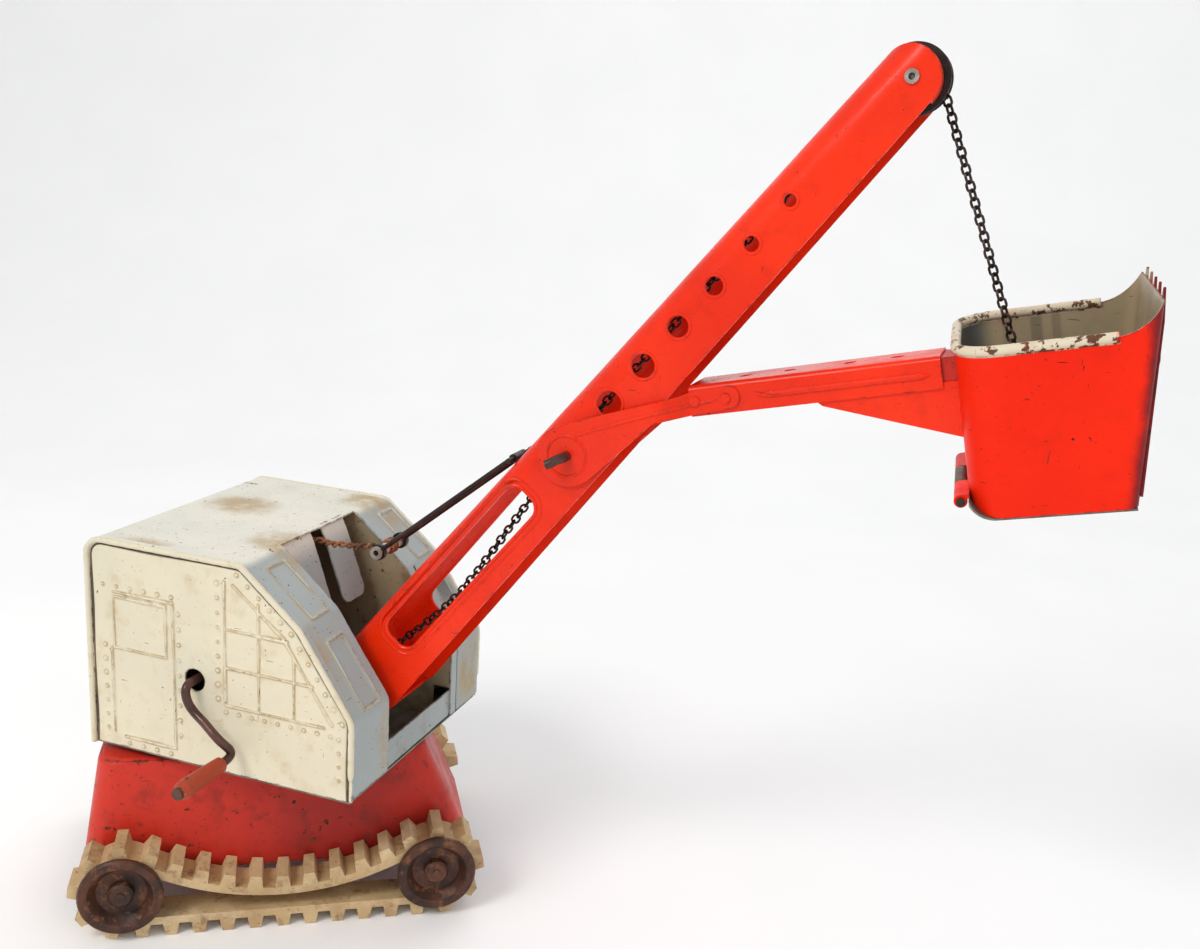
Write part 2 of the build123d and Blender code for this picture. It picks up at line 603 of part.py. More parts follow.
# ====================================================================================
# boom
# ====================================================================================
def boom_section(x, half_width, corner_r, inset, low_extra):
    """Cross-section of the boom: square lower edges and rounded back edges."""
    top = BOOM_BACK_Z + BOOM_BACK_SLOPE * x - inset
    low = BOOM_LIP_Z + BOOM_LIP_SLOPE * x - low_extra
    half = half_width - inset
    face = outline([(-half, low), (half, low), (half, top), (-half, top)],
                   {2: corner_r - inset, 3: corner_r - inset})
    return Plane.YZ.offset(x) * face


def boom_side(inset, low_extra=0.0):
    """Side view of the boom, with rounded tip and chamfered foot."""
    foot_low = BOOM_LIP_Z + BOOM_LIP_SLOPE * -11 - 0.02
    corners = [(-11, foot_low), (BOOM_TIP_X, BOOM_TIP_Z - BOOM_TIP_R),
               (BOOM_TIP_X, BOOM_TIP_Z + BOOM_TIP_R), (2, BOOM_BACK_Z), (-11, 2)]
    face = outline(corners, {0: 6.0, 3: 6.0, 4: 6.0})
    face += Pos(BOOM_TIP_X, BOOM_TIP_Z) * Circle(BOOM_TIP_R)
    if inset:
        face = offset(face, amount=-inset)
    if low_extra:
        face += outline([(-8, -7), (BOOM_TIP_X, -5), (BOOM_TIP_X - 4, -20), (-8, -30)])
    return face


def boom_block(inset, low_extra):
    sections = [boom_section(x, half, r, inset, low_extra) for x, half, r in BOOM_STATIONS]
    return loft(sections, ruled=True) & side_slab(boom_side(inset, low_extra), -40, 40)


def boom_shell():
    """Open-bottomed channel with a slot, a row of holes and a notched tip."""
    shell = boom_block(0, 0) - boom_block(SHEET, 10)
    cuts = Pos((SLOT_START + SLOT_END) / 2, (SLOT_LOW + SLOT_HIGH) / 2) * RectangleRounded(
        SLOT_END - SLOT_START, SLOT_HIGH - SLOT_LOW, SLOT_CORNER_R)
    for i, radius in enumerate(HOLE_RADII):
        x = FIRST_HOLE_X + i * HOLE_SPACING
        cuts += Pos(x, HOLE_Z + HOLE_SLOPE * i * HOLE_SPACING) * Circle(radius)
    cuts += Circle(BOOM_PIN_R + RUNNING_GAP)
    cuts += Pos(ARM_PIN_X, ARM_PIN_Z) * Circle(ARM_PIN_R)
    cuts += Pos(TIP_PIN_X, TIP_PIN_Z) * Circle(TIP_PIN_R)
    shell -= side_slab(cuts, -40, 40)
    mouth = SHEAVE_HALF_WIDTH + MOUTH_GAP
    shell -= box(TIP_PIN_X - 11.5, 320, -mouth, mouth, -20, 30)
    # passage for the chain, which comes in over the pivot pin at every luffing angle
    return shell - box(-14, 6.5, -FOOT_CUT_HALF, FOOT_CUT_HALF, -3, 19)


def tip_rivet():
    """Tubular rivet through the boom's tip: the sheave's axle."""
    half = TIP_PIN_HALF
    rivet = y_rod(TIP_PIN_X, TIP_PIN_Z, TIP_PIN_R, -half, half)
    for y_low, y_high in ((-half - 0.6, -half), (half, half + 0.6)):
        rivet += y_rod(TIP_PIN_X, TIP_PIN_Z, TIP_PIN_HEAD_R, y_low, y_high)
    return rivet - y_rod(TIP_PIN_X, TIP_PIN_Z, TIP_PIN_BORE_R, -20, 20)


def arm_pivot_pin():
    """Bent wire pin through the boom and yoke, with its free end turned aside."""
    z = ARM_PIN_Z
    reach = YOKE_Y + YOKE_SHEET
    straight = Line((ARM_PIN_X, reach + 1.2, z), (ARM_PIN_X, -reach - 2, z))
    bend = Spline([(ARM_PIN_X, -reach - 2, z), (ARM_PIN_X - 1.2, -reach - 5, z + 0.8),
                   (ARM_PIN_X - 5.0, -reach - 7.5, z + 2.4)],
                  tangents=[(0, -1, 0), (-1, -0.25, 0.5)])
    rod = wire_rod(Wire([straight, bend]), ARM_PIN_R)
    return rod + y_rod(ARM_PIN_X, z, ARM_PIN_R + 1, reach + 0.2, reach + 1.2)


def tip_sheave():
    """Deep-grooved wheel that turns on the tip rivet."""
    rim = SHEAVE_HALF_WIDTH
    profile = make_face(Polyline(
        (TIP_PIN_R + RUNNING_GAP, -rim), (SHEAVE_R, -rim), (SHEAVE_R, -rim + 0.8),
        (SHEAVE_GROOVE_R, -rim + 1.6), (SHEAVE_GROOVE_R, rim - 1.6), (SHEAVE_R, rim - 0.8),
        (SHEAVE_R, rim), (TIP_PIN_R + RUNNING_GAP, rim), close=True))
    return Pos(TIP_PIN_X, 0, TIP_PIN_Z) * revolve(Plane.XY * profile, axis=Axis.Y)


def stay_bracket():
    """Folded strap on the boom's back that holds the stay's cross wire."""
    back = BOOM_BACK_Z + BOOM_BACK_SLOPE * STAY_ANCHOR_X
    strap = box(STAY_ANCHOR_X, STAY_ANCHOR_X + 8, -5, 5, back, back + SHEET)
    ring = y_rod(STAY_ANCHOR_X, STAY_ANCHOR_Z + 0.6, STAY_WIRE_R + RUNNING_GAP + SHEET, -5, 5,
                 STAY_WIRE_R + RUNNING_GAP)
    return strap + ring - box(STAY_ANCHOR_X - 10, STAY_ANCHOR_X + 10, -6, 6, back - 10, back)


# ====================================================================================
# stay
# ====================================================================================
def stay_angle():
    anchor = boom_point(STAY_ANCHOR_X, STAY_ANCHOR_Z + 0.6)
    return anchor, math.atan2(anchor[1] - CROSS_TUBE[1], anchor[0] - CROSS_TUBE[0])


def stay_wire():
    """Bent wire bail from the boom's back down to the cross tube."""
    (ax, az), _ = stay_angle()
    tx, tz = CROSS_TUBE
    side = STAY_HALF_WIDTH
    rod = y_rod(ax, az, STAY_WIRE_R, -side - STAY_WIRE_R, side + STAY_WIRE_R)
    for y in (-side, side):
        leg = Line((ax, y, az), (tx, y, tz))
        rod += wire_rod(leg, STAY_WIRE_R)
        eye = y_rod(tx, tz, CROSS_TUBE_R + 1.2, y - STAY_WIRE_R, y + STAY_WIRE_R)
        rod += eye
    return rod - y_rod(tx, tz, CROSS_TUBE_R, -20, 20)


def stay_cross_tube():
    half = STAY_HALF_WIDTH + STAY_WIRE_R + 0.6
    tx, tz = CROSS_TUBE
    tube = y_rod(tx, tz, CROSS_TUBE_R, -half, half)
    for y_low, y_high in ((-half - 0.6, -half + 0.4), (half - 0.4, half + 0.6)):
        tube += y_rod(tx, tz, CROSS_TUBE_R + 0.6, y_low, y_high)
    return tube - y_rod(tx, tz, 1.2, -20, 20)


def luff_cord():
    """Two strands from the cross tube into the house, over the luffing drum."""
    tx, tz = CROSS_TUBE
    over_x, over_z = CORD_OVER_DRUM
    turn = math.atan2(tz - LUFF_Z - over_z, tx - LUFF_X - over_x)
    strands = None
    for y in (-CORD_HALF_SPREAD, CORD_HALF_SPREAD):
        start = (tx - (CROSS_TUBE_R + 0.4) * math.cos(turn), y,
                 tz - (CROSS_TUBE_R + 0.4) * math.sin(turn))
        end = (tx - CORD_TAIL * math.cos(turn), y, tz - CORD_TAIL * math.sin(turn))
        strand = wire_rod(Line(start, end), CORD_R + 0.1)
        strands = strand if strands is None else strands + strand
    loop = y_rod(tx, tz, CROSS_TUBE_R + 1.0, -2.1, 2.1, CROSS_TUBE_R)
    return strands + loop


# ====================================================================================
# arm and bucket
# ====================================================================================
def arm_channel():
    """Channel open below, with holes in its top."""
    block = box(ARM_START_X, ARM_END_X, -ARM_HALF_WIDTH, ARM_HALF_WIDTH, ARM_LOW_Z, ARM_TOP_Z)
    block = fillet(block.edges().filter_by(Axis.X).group_by(Axis.Z)[-1], 2.0)
    inside = ARM_HALF_WIDTH - SHEET
    hollow = box(ARM_START_X - 1, ARM_END_X + 1, -inside, inside, ARM_LOW_Z - 1, ARM_TOP_Z - SHEET)
    hollow = fillet(hollow.edges().filter_by(Axis.X).group_by(Axis.Z)[-1], 2.0 - SHEET)
    channel = block - hollow
    for x in ARM_HOLE_XS:
        channel -= Pos(x, 0, ARM_TOP_Z) * Cylinder(ARM_HOLE_R, 6)
    return channel


def yoke_plate(side):
    """Plate from the arm's pin to the channel, joggled inwards ahead of the boom."""
    outer = YOKE_Y + YOKE_SHEET
    arm_y = ARM_HALF_WIDTH + YOKE_SHEET
    bend, land = YOKE_JOGGLE
    plan = outline([(-15, YOKE_Y), (bend, YOKE_Y), (land, ARM_HALF_WIDTH), (70, ARM_HALF_WIDTH),
                    (70, arm_y), (land, arm_y), (bend, outer), (-15, outer)],
                   {1: 2.5, 2: 2.5, 5: 2.5, 6: 2.5})
    strip = extrude(plan, amount=80, both=True)
    face = Circle(YOKE_ROUND_R)
    lower_edge = [(-2, -YOKE_ROUND_R + 0.2), (6, -YOKE_ROUND_R + 1.2), (34, 8.0), (50, 9.2), (66, 10.2)]
    upper_edge = [(66, 18.2), (52, 18.0), (44, 16.2), (12, 13.0)]
    face += outline([(-2, YOKE_ROUND_R - 0.2), *lower_edge, *upper_edge],
                    {3: 6.0, 5: 3.9, 6: 3.9, 7: 3.0})
    face -= Circle(ARM_PIN_R + RUNNING_GAP)
    plate = strip & side_slab(face, 0, 40)
    return plate if side > 0 else mirror(plate, about=Plane.XZ)


def yoke_rivets():
    """Rivets that hold the yoke plates to the channel's sides."""
    y_in, y_out = ARM_HALF_WIDTH - SHEET, ARM_HALF_WIDTH + YOKE_SHEET
    rivets = []
    for x in YOKE_RIVET_XS:
        for side in (-1, 1):
            y_low, y_high = sorted((side * y_in, side * y_out))
            shank = y_rod(x, YOKE_RIVET_Z, YOKE_RIVET_R, y_low, y_high)
            y_low, y_high = sorted((side * y_out, side * (y_out + 0.6)))
            head = y_rod(x, YOKE_RIVET_Z, YOKE_RIVET_HEAD_R, y_low, y_high)
            rivets.append((shank + head).solid())
    return Compound(rivets)


def with_yoke_rivet_holes(shape):
    for x in YOKE_RIVET_XS:
        shape -= y_rod(x, YOKE_RIVET_Z, YOKE_RIVET_R, -30, 30)
    return shape


def beyond_rear_wall(clearance):
    """Everything past the bucket's crooked rear wall, less a clearance, in the arm's frame."""
    wall_x = BUCKET_REAR_X - clearance
    return bucket_tilt * box(wall_x, wall_x + 60, -60, 60, -80, 80)


def arm_gusset():
    """Folded triangle under the arm's end, open towards the arm, trimmed to the bucket."""
    half = ARM_HALF_WIDTH - SHEET - FOLD_GAP
    end_x = BUCKET_REAR_X + SEAT_TRIM
    face = outline([(90, ARM_LOW_Z + 2), (end_x, ARM_LOW_Z + 2), (end_x, -9.1),
                    (94, ARM_LOW_Z - 1.5)])
    inner = outline([(80, ARM_LOW_Z + 12), (150, ARM_LOW_Z + 12), (150, -12.2 + SHEET),
                     (80, ARM_LOW_Z + 3.2)])
    folded = side_slab(face, -half, half) - side_slab(inner, -half + SHEET, half - SHEET)
    return folded - beyond_rear_wall(SEAT_GAP)


def bucket_bracket():
    """Narrow channel, closed by an end plate, from the arm's end to the bucket's rear wall."""
    half = ARM_HALF_WIDTH - 2 * (SHEET + FOLD_GAP)
    top = ARM_TOP_Z - SHEET - 0.1
    start_x, end_x = ARM_END_X - 22, BUCKET_REAR_X + SEAT_TRIM
    block = box(start_x, end_x, -half, half, ARM_LOW_Z - 1, top)
    hollow = box(start_x - 1, end_x, -half + SHEET, half - SHEET, ARM_LOW_Z - 2, top - SHEET)
    hollow -= beyond_rear_wall(SEAT_GAP + SHEET)
    return block - beyond_rear_wall(SEAT_GAP) - hollow


def bucket_half_width(z):
    up = (z - BUCKET_LOW_Z) / (BUCKET_TOP_Z - BUCKET_LOW_Z)
    return BUCKET_LOW_HALF_WIDTH + up * (BUCKET_TOP_HALF_WIDTH - BUCKET_LOW_HALF_WIDTH)


def bucket_section(z, inset):
    """Plan view of the bucket at one height: large corners at the rear, small ones in front."""
    up = (z - BUCKET_LOW_Z) / (BUCKET_TOP_Z - BUCKET_LOW_Z)
    front = BUCKET_FRONT_LOW_X + up * (BUCKET_FRONT_TOP_X - BUCKET_FRONT_LOW_X) - inset
    half = bucket_half_width(z) - inset
    rear = BUCKET_REAR_X + inset
    rear_r, front_r = BUCKET_REAR_CORNER_R - inset, BUCKET_FRONT_CORNER_R - inset
    face = outline([(rear, -half), (front, -half), (front, half), (rear, half)],
                   {0: rear_r, 1: front_r, 2: front_r, 3: rear_r})
    return Pos(0, 0, z) * face


def bucket_trim():
    """Side view of what is cut away above the rim and round the rear lower corner."""
    sweep_start = BUCKET_FRONT_LOW_X - 4
    above = make_face([
        Line((120, BUCKET_RIM_Z), (sweep_start, BUCKET_RIM_Z)),
        ThreePointArc((sweep_start, BUCKET_RIM_Z), (193, BUCKET_RIM_Z + 2.6),
                      (BUCKET_FRONT_TOP_X - 0.8, BUCKET_PEAK_Z)),
        Line((BUCKET_FRONT_TOP_X - 0.8, BUCKET_PEAK_Z), (205, BUCKET_PEAK_Z)),
        Line((205, BUCKET_PEAK_Z), (205, 50)),
        Line((205, 50), (120, 50)),
        Line((120, 50), (120, BUCKET_RIM_Z)),
    ])
    low = BUCKET_LOW_Z
    heel_x, heel_z = BUCKET_REAR_X + HEEL_R, low + HEEL_R
    corner = Pos(heel_x - HEEL_R, heel_z - HEEL_R) * Rectangle(2 * HEEL_R, 2 * HEEL_R)
    corner -= Pos(heel_x, heel_z) * Circle(HEEL_R)
    return above, corner


def bucket_shell():
    """Open-topped and open-bottomed bucket with a rolled bead along its rim."""
    outer = loft([bucket_section(BUCKET_LOW_Z, 0), bucket_section(BUCKET_TOP_Z, 0)])
    inner = loft([bucket_section(BUCKET_LOW_Z, SHEET), bucket_section(BUCKET_TOP_Z, SHEET)])
    shell = outer - inner
    above, corner = bucket_trim()
    shell -= side_slab(above, -50, 50)
    shell -= side_slab(corner, -50, 50)
    rim_wire = bucket_section(BUCKET_RIM_Z, SHEET / 2).face().outer_wire()
    rim_edges = [e for e in rim_wire.edges() if (e @ 0.5).X < BUCKET_FRONT_LOW_X + 1]
    path = Wire(Wire(rim_edges).edges())
    bead = wire_rod(path, RIM_BEAD_R)
    bead -= box(BUCKET_FRONT_LOW_X - 3, 210, -50, 50, 0, 50)
    shell += bead
    for side in (-1, 1):
        shell -= y_rod(CHAIN_ROD_X, CHAIN_ROD_Z, CHAIN_ROD_R, side * 40 - 20, side * 40 + 20)
    shell -= door_slot()
    return shell + hinge_knuckles()


def door_slot():
    """Clearance through the rear wall's lower edge for the door's rolled knuckle."""
    half = DOOR_KNUCKLE_HALF + FIT_GAP
    return box(DOOR_PIN_X - 4, DOOR_PIN_X + DOOR_KNUCKLE_R + 0.25, -half, half,
               DOOR_PIN_Z - 3, DOOR_PIN_Z + DOOR_KNUCKLE_R + 0.3)


def hinge_knuckles():
    """The shell's two rolled knuckles round the door pin, each with its strap to the wall."""
    rolled = None
    for y_low, y_high in SHELL_KNUCKLES:
        knuckle = y_rod(DOOR_PIN_X, DOOR_PIN_Z, DOOR_KNUCKLE_R, y_low, y_high)
        strap = box(DOOR_PIN_X, BUCKET_REAR_X + 0.3, y_low, y_high,
                    DOOR_PIN_Z + 0.8, DOOR_PIN_Z + DOOR_KNUCKLE_R)
        rolled = knuckle + strap if rolled is None else rolled + knuckle + strap
    return rolled - y_rod(DOOR_PIN_X, DOOR_PIN_Z, DOOR_PIN_R + RUNNING_GAP, -40, 40)


def bucket_door():
    """Bottom flap: flat floor with a rounded heel and one knuckle on the hinge pin."""
    low = BUCKET_LOW_Z - DOOR_GAP
    heel_x, heel_z = BUCKET_REAR_X + HEEL_R, BUCKET_LOW_Z + HEEL_R
    face = Pos(heel_x, heel_z) * (Circle(HEEL_R + DOOR_GAP + SHEET) - Circle(HEEL_R + DOOR_GAP))
    face &= Pos(heel_x - HEEL_R, heel_z - HEEL_R - 2.2) * Rectangle(2 * HEEL_R, 2 * HEEL_R)
    front_x = BUCKET_FRONT_LOW_X - 0.5
    face += Pos((heel_x + front_x) / 2, low - SHEET / 2) * Rectangle(front_x - heel_x, SHEET)
    floor = side_slab(face, -BUCKET_LOW_HALF_WIDTH + 1, BUCKET_LOW_HALF_WIDTH - 1)
    half = DOOR_KNUCKLE_HALF
    for y_low, y_high in ((half, 40), (-40, -half)):
        floor -= box(DOOR_PIN_X - 5, DOOR_PIN_X + DOOR_KNUCKLE_R + 0.3, y_low, y_high,
                     DOOR_PIN_Z - DOOR_KNUCKLE_R - 0.3, 0)
    knuckle = y_rod(DOOR_PIN_X, DOOR_PIN_Z, DOOR_KNUCKLE_R, -half, half)
    flap = floor + knuckle
    return flap - y_rod(DOOR_PIN_X, DOOR_PIN_Z, DOOR_PIN_R + RUNNING_GAP, -40, 40)


def door_hinge_pin():
    half = DOOR_PIN_HALF
    pin = y_rod(DOOR_PIN_X, DOOR_PIN_Z, DOOR_PIN_R, -half, half)
    for y_low, y_high in ((-half - 0.7, -half), (half, half + 0.7)):
        pin += y_rod(DOOR_PIN_X, DOOR_PIN_Z, DOOR_PIN_R + 0.6, y_low, y_high)
    return pin


def front_lean():
    rise = BUCKET_TOP_Z - BUCKET_LOW_Z
    return (BUCKET_FRONT_TOP_X - BUCKET_FRONT_LOW_X) / rise


def tooth_plate():
    """Plate on the bucket's front wall with pointed teeth along its top."""
    half = TOOTH_COUNT * TOOTH_PITCH / 2
    points = [(-half, BUCKET_LOW_Z + 3), (half, BUCKET_LOW_Z + 3), (half, TOOTH_ROOT_Z)]
    for i in range(TOOTH_COUNT):
        right = half - i * TOOTH_PITCH
        points += [(right - TOOTH_PITCH / 2, TOOTH_TIP_Z), (right - TOOTH_PITCH, TOOTH_ROOT_Z)]
    plate = extrude(Plane.YZ * make_face(Polyline(*points, close=True)), amount=TOOTH_PLATE_SHEET)
    lean = math.degrees(math.atan(front_lean()))
    foot_x = BUCKET_FRONT_LOW_X + 0.05
    return Pos(foot_x, 0, BUCKET_LOW_Z) * Rot(0, lean, 0) * Pos(0, 0, -BUCKET_LOW_Z) * plate


def tooth_plate_rivets():
    """Dome rivets through the tooth plate and the bucket's front wall."""
    rivets = []
    lean = math.degrees(math.atan(front_lean()))
    for y in TOOTH_RIVET_YS:
        shank = Cylinder(TOOTH_RIVET_R, SHEET + TOOTH_PLATE_SHEET + 0.2,
                         align=(Align.CENTER, Align.CENTER, Align.MAX))
        head = Cylinder(TOOTH_RIVET_HEAD_R, 1.2, align=(Align.CENTER, Align.CENTER, Align.MIN))
        head = fillet(head.edges().group_by(Axis.Z)[-1], 0.9)
        rivets.append((rivet_place(y, lean) * (shank + head)).solid())
    return Compound(rivets)


def rivet_place(y, lean):
    z = TOOTH_RIVET_Z
    x = BUCKET_FRONT_LOW_X + 0.12 + (z - BUCKET_LOW_Z) * front_lean() + TOOTH_PLATE_SHEET
    return Pos(x, y, z) * Rot(0, 90 + lean, 0)


def with_tooth_rivet_holes(shape):
    lean = math.degrees(math.atan(front_lean()))
    for y in TOOTH_RIVET_YS:
        shape -= rivet_place(y, lean) * Cylinder(TOOTH_RIVET_R, 8)
    return shape


def chain_rod():
    """Cross rod that the chain hangs on, its ends soldered in holes, flush with the walls."""
    half = bucket_half_width(CHAIN_ROD_Z) - 0.1
    return y_rod(CHAIN_ROD_X, CHAIN_ROD_Z, CHAIN_ROD_R, -half, half)


# ====================================================================================
# chain runs
# ====================================================================================
def hanging_chain_line():
    """Straight line from where the chain leaves the sheave to the bucket's cross rod."""
    tip_x, tip_z = boom_point(TIP_PIN_X, TIP_PIN_Z)
    hitch = (bucket_frame * Pos(CHAIN_ROD_X, 0, CHAIN_ROD_Z)).position
    rod_x, rod_z = hitch.X, hitch.Z
    away = math.hypot(rod_x - tip_x, rod_z - tip_z)
    toward = math.atan2(rod_z - tip_z, rod_x - tip_x)
    radial = toward + math.acos(CHAIN_TURN_R / away)
    start = (tip_x + CHAIN_TURN_R * math.cos(radial), tip_z + CHAIN_TURN_R * math.sin(radial))
    return start, (rod_x, rod_z)


def hanging_chain(from_part, to_part):
    (sx, sz), (ex, ez) = hanging_chain_line()
    reach = math.hypot(ex - sx, ez - sz)
    ux, uz = (ex - sx) / reach, (ez - sz) / reach
    length = reach - CHAIN_END_GAP
    a, b = from_part * length, to_part * length
    return chain_run(Line((sx + ux * a, 0, sz + uz * a), (sx + ux * b, 0, sz + uz * b)))


def boom_chain():
    """Slack run inside the boom, from over the pivot pin to the tip sheave, as a plain round."""
    over_pin_z = ARM_PIN_Z + ARM_PIN_R + HIDDEN_CHAIN_R + 1.2
    path = Spline([(5.0, 0, 4.9), (44.0, 0, 0.0), (94.0, 0, 3.6), (ARM_PIN_X, 0, over_pin_z),
                   (190.0, 0, 7.6), (293.0, 0, TIP_PIN_Z + CHAIN_TURN_R)])
    return boom_frame * wire_rod(path, HIDDEN_CHAIN_R)


def house_chain():
    """Run from the hoist drum to the boom's pivot pin, as a plain round."""
    path = Line((HOIST_X, 0, HOIST_Z + 7.0), (BOOM_PIVOT_X - 2.5, 0, BOOM_PIVOT_Z + 4.6))
    return wire_rod(path, HIDDEN_CHAIN_R)


# ====================================================================================
# assembly
# ====================================================================================
origin_shift = Pos(SLEW_AXIS_X, 0, 0)


def main():
    os.makedirs("parts", exist_ok=True)
    rear_x, front_x = -WHEEL_BASE / 2, WHEEL_BASE / 2
    in_chassis = {
        "chassis_shell": with_bracket_rivet_holes(chassis_shell()),
        "front_axle_bracket": with_bracket_rivet_holes(axle_bracket(front_x, BRACKET_WEBS[1])),
        "rear_axle_bracket": with_bracket_rivet_holes(axle_bracket(rear_x, BRACKET_WEBS[0])),
        "bracket_rivets": bracket_rivets(),
        "slew_post": slew_post(),
        "slew_washer": slew_washer(),
        "track_right": track(-1),
        "track_left": track(1),
        "front_axle": axle(front_x),
        "front_wheel_right": wheel(front_x, -1),
        "front_wheel_left": wheel(front_x, 1),
        "rear_axle": axle(rear_x),
        "rear_wheel_right": wheel(rear_x, -1),
        "rear_wheel_left": wheel(rear_x, 1),
    }
    in_world = {
        "base_pan": with_frame_rivet_holes(base_pan()),
        "side_panel_right": side_panel(-1),
        "side_panel_left": side_panel(1),
        "roof_wrap": roof_wrap(),
        "front_skirt": front_skirt(),
        "winch_frame_right": with_frame_rivet_holes(winch_frame(-1)),
        "winch_frame_left": with_frame_rivet_holes(winch_frame(1)),
        "frame_rivets": frame_rivets(),
        "boom_pivot_pin": boom_pivot_pin(),
        "hoist_crank": mirror(crank(HOIST_X, HOIST_Z, CRANK_THROW), about=Plane.XZ),
        "hoist_drum": drum(HOIST_X, HOIST_Z, HOIST_FLANGE_R, HOIST_DRUM_HALF),
        "hoist_spring": friction_spring(HOIST_X, HOIST_Z, HOIST_SPRING_SPAN, HOIST_SPRING_TURNS),
        "hoist_handle": mirror(handle(HOIST_X, HOIST_Z, CRANK_THROW), about=Plane.XZ),
        "luff_crank": crank(LUFF_X, LUFF_Z, LUFF_THROW),
        "luff_drum": drum(LUFF_X, LUFF_Z, LUFF_FLANGE_R, LUFF_DRUM_HALF),
        "luff_spring": friction_spring(LUFF_X, LUFF_Z, LUFF_SPRING_SPAN, LUFF_SPRING_TURNS),
        "luff_handle": handle(LUFF_X, LUFF_Z, LUFF_THROW),
        "stay_wire": stay_wire(),
        "stay_cross_tube": stay_cross_tube(),
        "luff_cord": luff_cord(),
        "house_chain": house_chain(),
        "boom_chain": boom_chain(),
        "chain_upper_run": hanging_chain(0.0, 0.5),
        "chain_lower_run": hanging_chain(0.5, 1.0),
    }
    in_boom = {
        "boom_shell": boom_shell(),
        "tip_rivet": tip_rivet(),
        "arm_pivot_pin": arm_pivot_pin(),
        "stay_bracket": stay_bracket(),
        "tip_sheave": tip_sheave(),
    }
    in_arm = {
        "arm_channel": with_yoke_rivet_holes(arm_channel()),
        "yoke_plate_right": with_yoke_rivet_holes(yoke_plate(-1)),
        "yoke_plate_left": with_yoke_rivet_holes(yoke_plate(1)),
        "yoke_rivets": yoke_rivets(),
        "arm_gusset": arm_gusset(),
        "bucket_bracket": bucket_bracket(),
    }
    in_bucket = {
        "bucket_shell": with_tooth_rivet_holes(bucket_shell()),
        "tooth_plate": with_tooth_rivet_holes(tooth_plate()),
        "tooth_plate_rivets": tooth_plate_rivets(),
        "chain_rod": chain_rod(),
        "door_hinge_pin": door_hinge_pin(),
        "bucket_door": bucket_door(),
    }
    placed = (
        (Location(), in_world),
        (chassis_frame, in_chassis),
        (boom_frame, in_boom),
        (arm_frame, in_arm),
        (bucket_frame, in_bucket),
    )
    for frame, nodes in placed:
        for name, shape in nodes.items():
            export_step(origin_shift * frame * shape, f"parts/{name}.step")


main()
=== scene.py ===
import json
import math

import bpy
import numpy as np
from mathutils import Matrix, Vector


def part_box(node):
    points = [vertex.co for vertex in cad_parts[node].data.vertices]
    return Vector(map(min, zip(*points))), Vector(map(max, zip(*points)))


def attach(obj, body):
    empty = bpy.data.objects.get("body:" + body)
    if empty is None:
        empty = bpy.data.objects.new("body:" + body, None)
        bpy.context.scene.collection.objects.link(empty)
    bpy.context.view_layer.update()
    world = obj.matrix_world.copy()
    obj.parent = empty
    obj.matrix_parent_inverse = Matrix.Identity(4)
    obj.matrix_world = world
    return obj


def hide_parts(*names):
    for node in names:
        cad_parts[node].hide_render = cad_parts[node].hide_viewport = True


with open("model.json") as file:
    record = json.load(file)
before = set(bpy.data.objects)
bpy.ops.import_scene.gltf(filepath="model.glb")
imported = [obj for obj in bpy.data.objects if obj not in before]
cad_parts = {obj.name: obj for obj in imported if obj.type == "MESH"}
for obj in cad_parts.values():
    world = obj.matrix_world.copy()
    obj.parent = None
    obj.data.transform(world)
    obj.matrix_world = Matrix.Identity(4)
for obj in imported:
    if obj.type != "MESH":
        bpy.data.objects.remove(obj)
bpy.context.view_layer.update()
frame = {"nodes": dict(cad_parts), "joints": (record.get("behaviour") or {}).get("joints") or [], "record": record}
nodes = frame["nodes"]
joints = {joint["name"]: joint for joint in frame["joints"]}

# Everything below is worked out in millimetres and written to the meshes in metres.
MM = 0.001

# house sheet metal
SHEET = 0.7
HOUSE_REAR, HOUSE_FRONT = -55.0, 67.0
HOUSE_HALF = 55.0
HOUSE_LOW, ROOF_Z = 69.0, 157.7
ROOF_FRONT = 18.0
SLOPE_BREAK = (44.0, 136.3)
FRONT_TOP = 103.0
CORNER_RADII = (8.0, 6.0, 10.0, 8.0)
BEAD_R = 1.2
BEAD_END_Z = 79.0
HOIST_HOLE = (-4.0, 106.0)
LUFF_HOLE = (-14.0, 141.0)
CRANK_HOLE_R = 4.7
WRAP_INSET = 0.35
RECESS_X, RECESS_Y = 17.0, (-28.0, 27.5)
WRAP_FRONT_LOW = 71.5
TONGUE_LEAN = 19.5
TONGUES = ((-27.8, -5.0, 47.0), (3.0, 20.0, 35.0))
ROOF_SLOT = (-53.0, -42.0, 41.5, 42.7)
GREY_FROM_X = (17.0, 21.0)
DOOR_LINES = (((-13.5, 75.0), (-13.5, 134.5)), ((-38.0, 74.6), (-13.5, 74.6)),
              ((-41.7, 112.6), (-41.7, 134.0)), ((-17.0, 112.6), (-17.0, 134.0)),
              ((-41.7, 112.6), (-17.0, 112.6)), ((-41.7, 134.0), (-17.0, 134.0)),
              ((-41.7, 136.0), (-13.5, 136.0)), ((-43.0, 76.0), (-43.0, 112.0)))
WINDOW_LINES = (((10.3, 98.4), (10.3, 149.0)), ((25.4, 98.4), (25.4, 142.5)),
                ((41.0, 98.4), (41.0, 123.0)), ((10.3, 129.9), (38.0, 129.9)),
                ((10.3, 114.1), (49.0, 114.1)), ((10.3, 98.4), (54.0, 98.4)))
RIVET_ROWS = (((-11.0, 81.0), (-11.0, 132.0)), ((-46.3, 77.0), (-46.3, 113.0)),
              ((-46.5, 138.4), (-14.0, 138.4)), ((-36.0, 71.9), (-16.0, 71.9)),
              ((7.0, 100.5), (7.0, 148.0)), ((10.5, 95.6), (57.0, 95.6)),
              ((60.5, 95.0), (60.5, 78.0)))
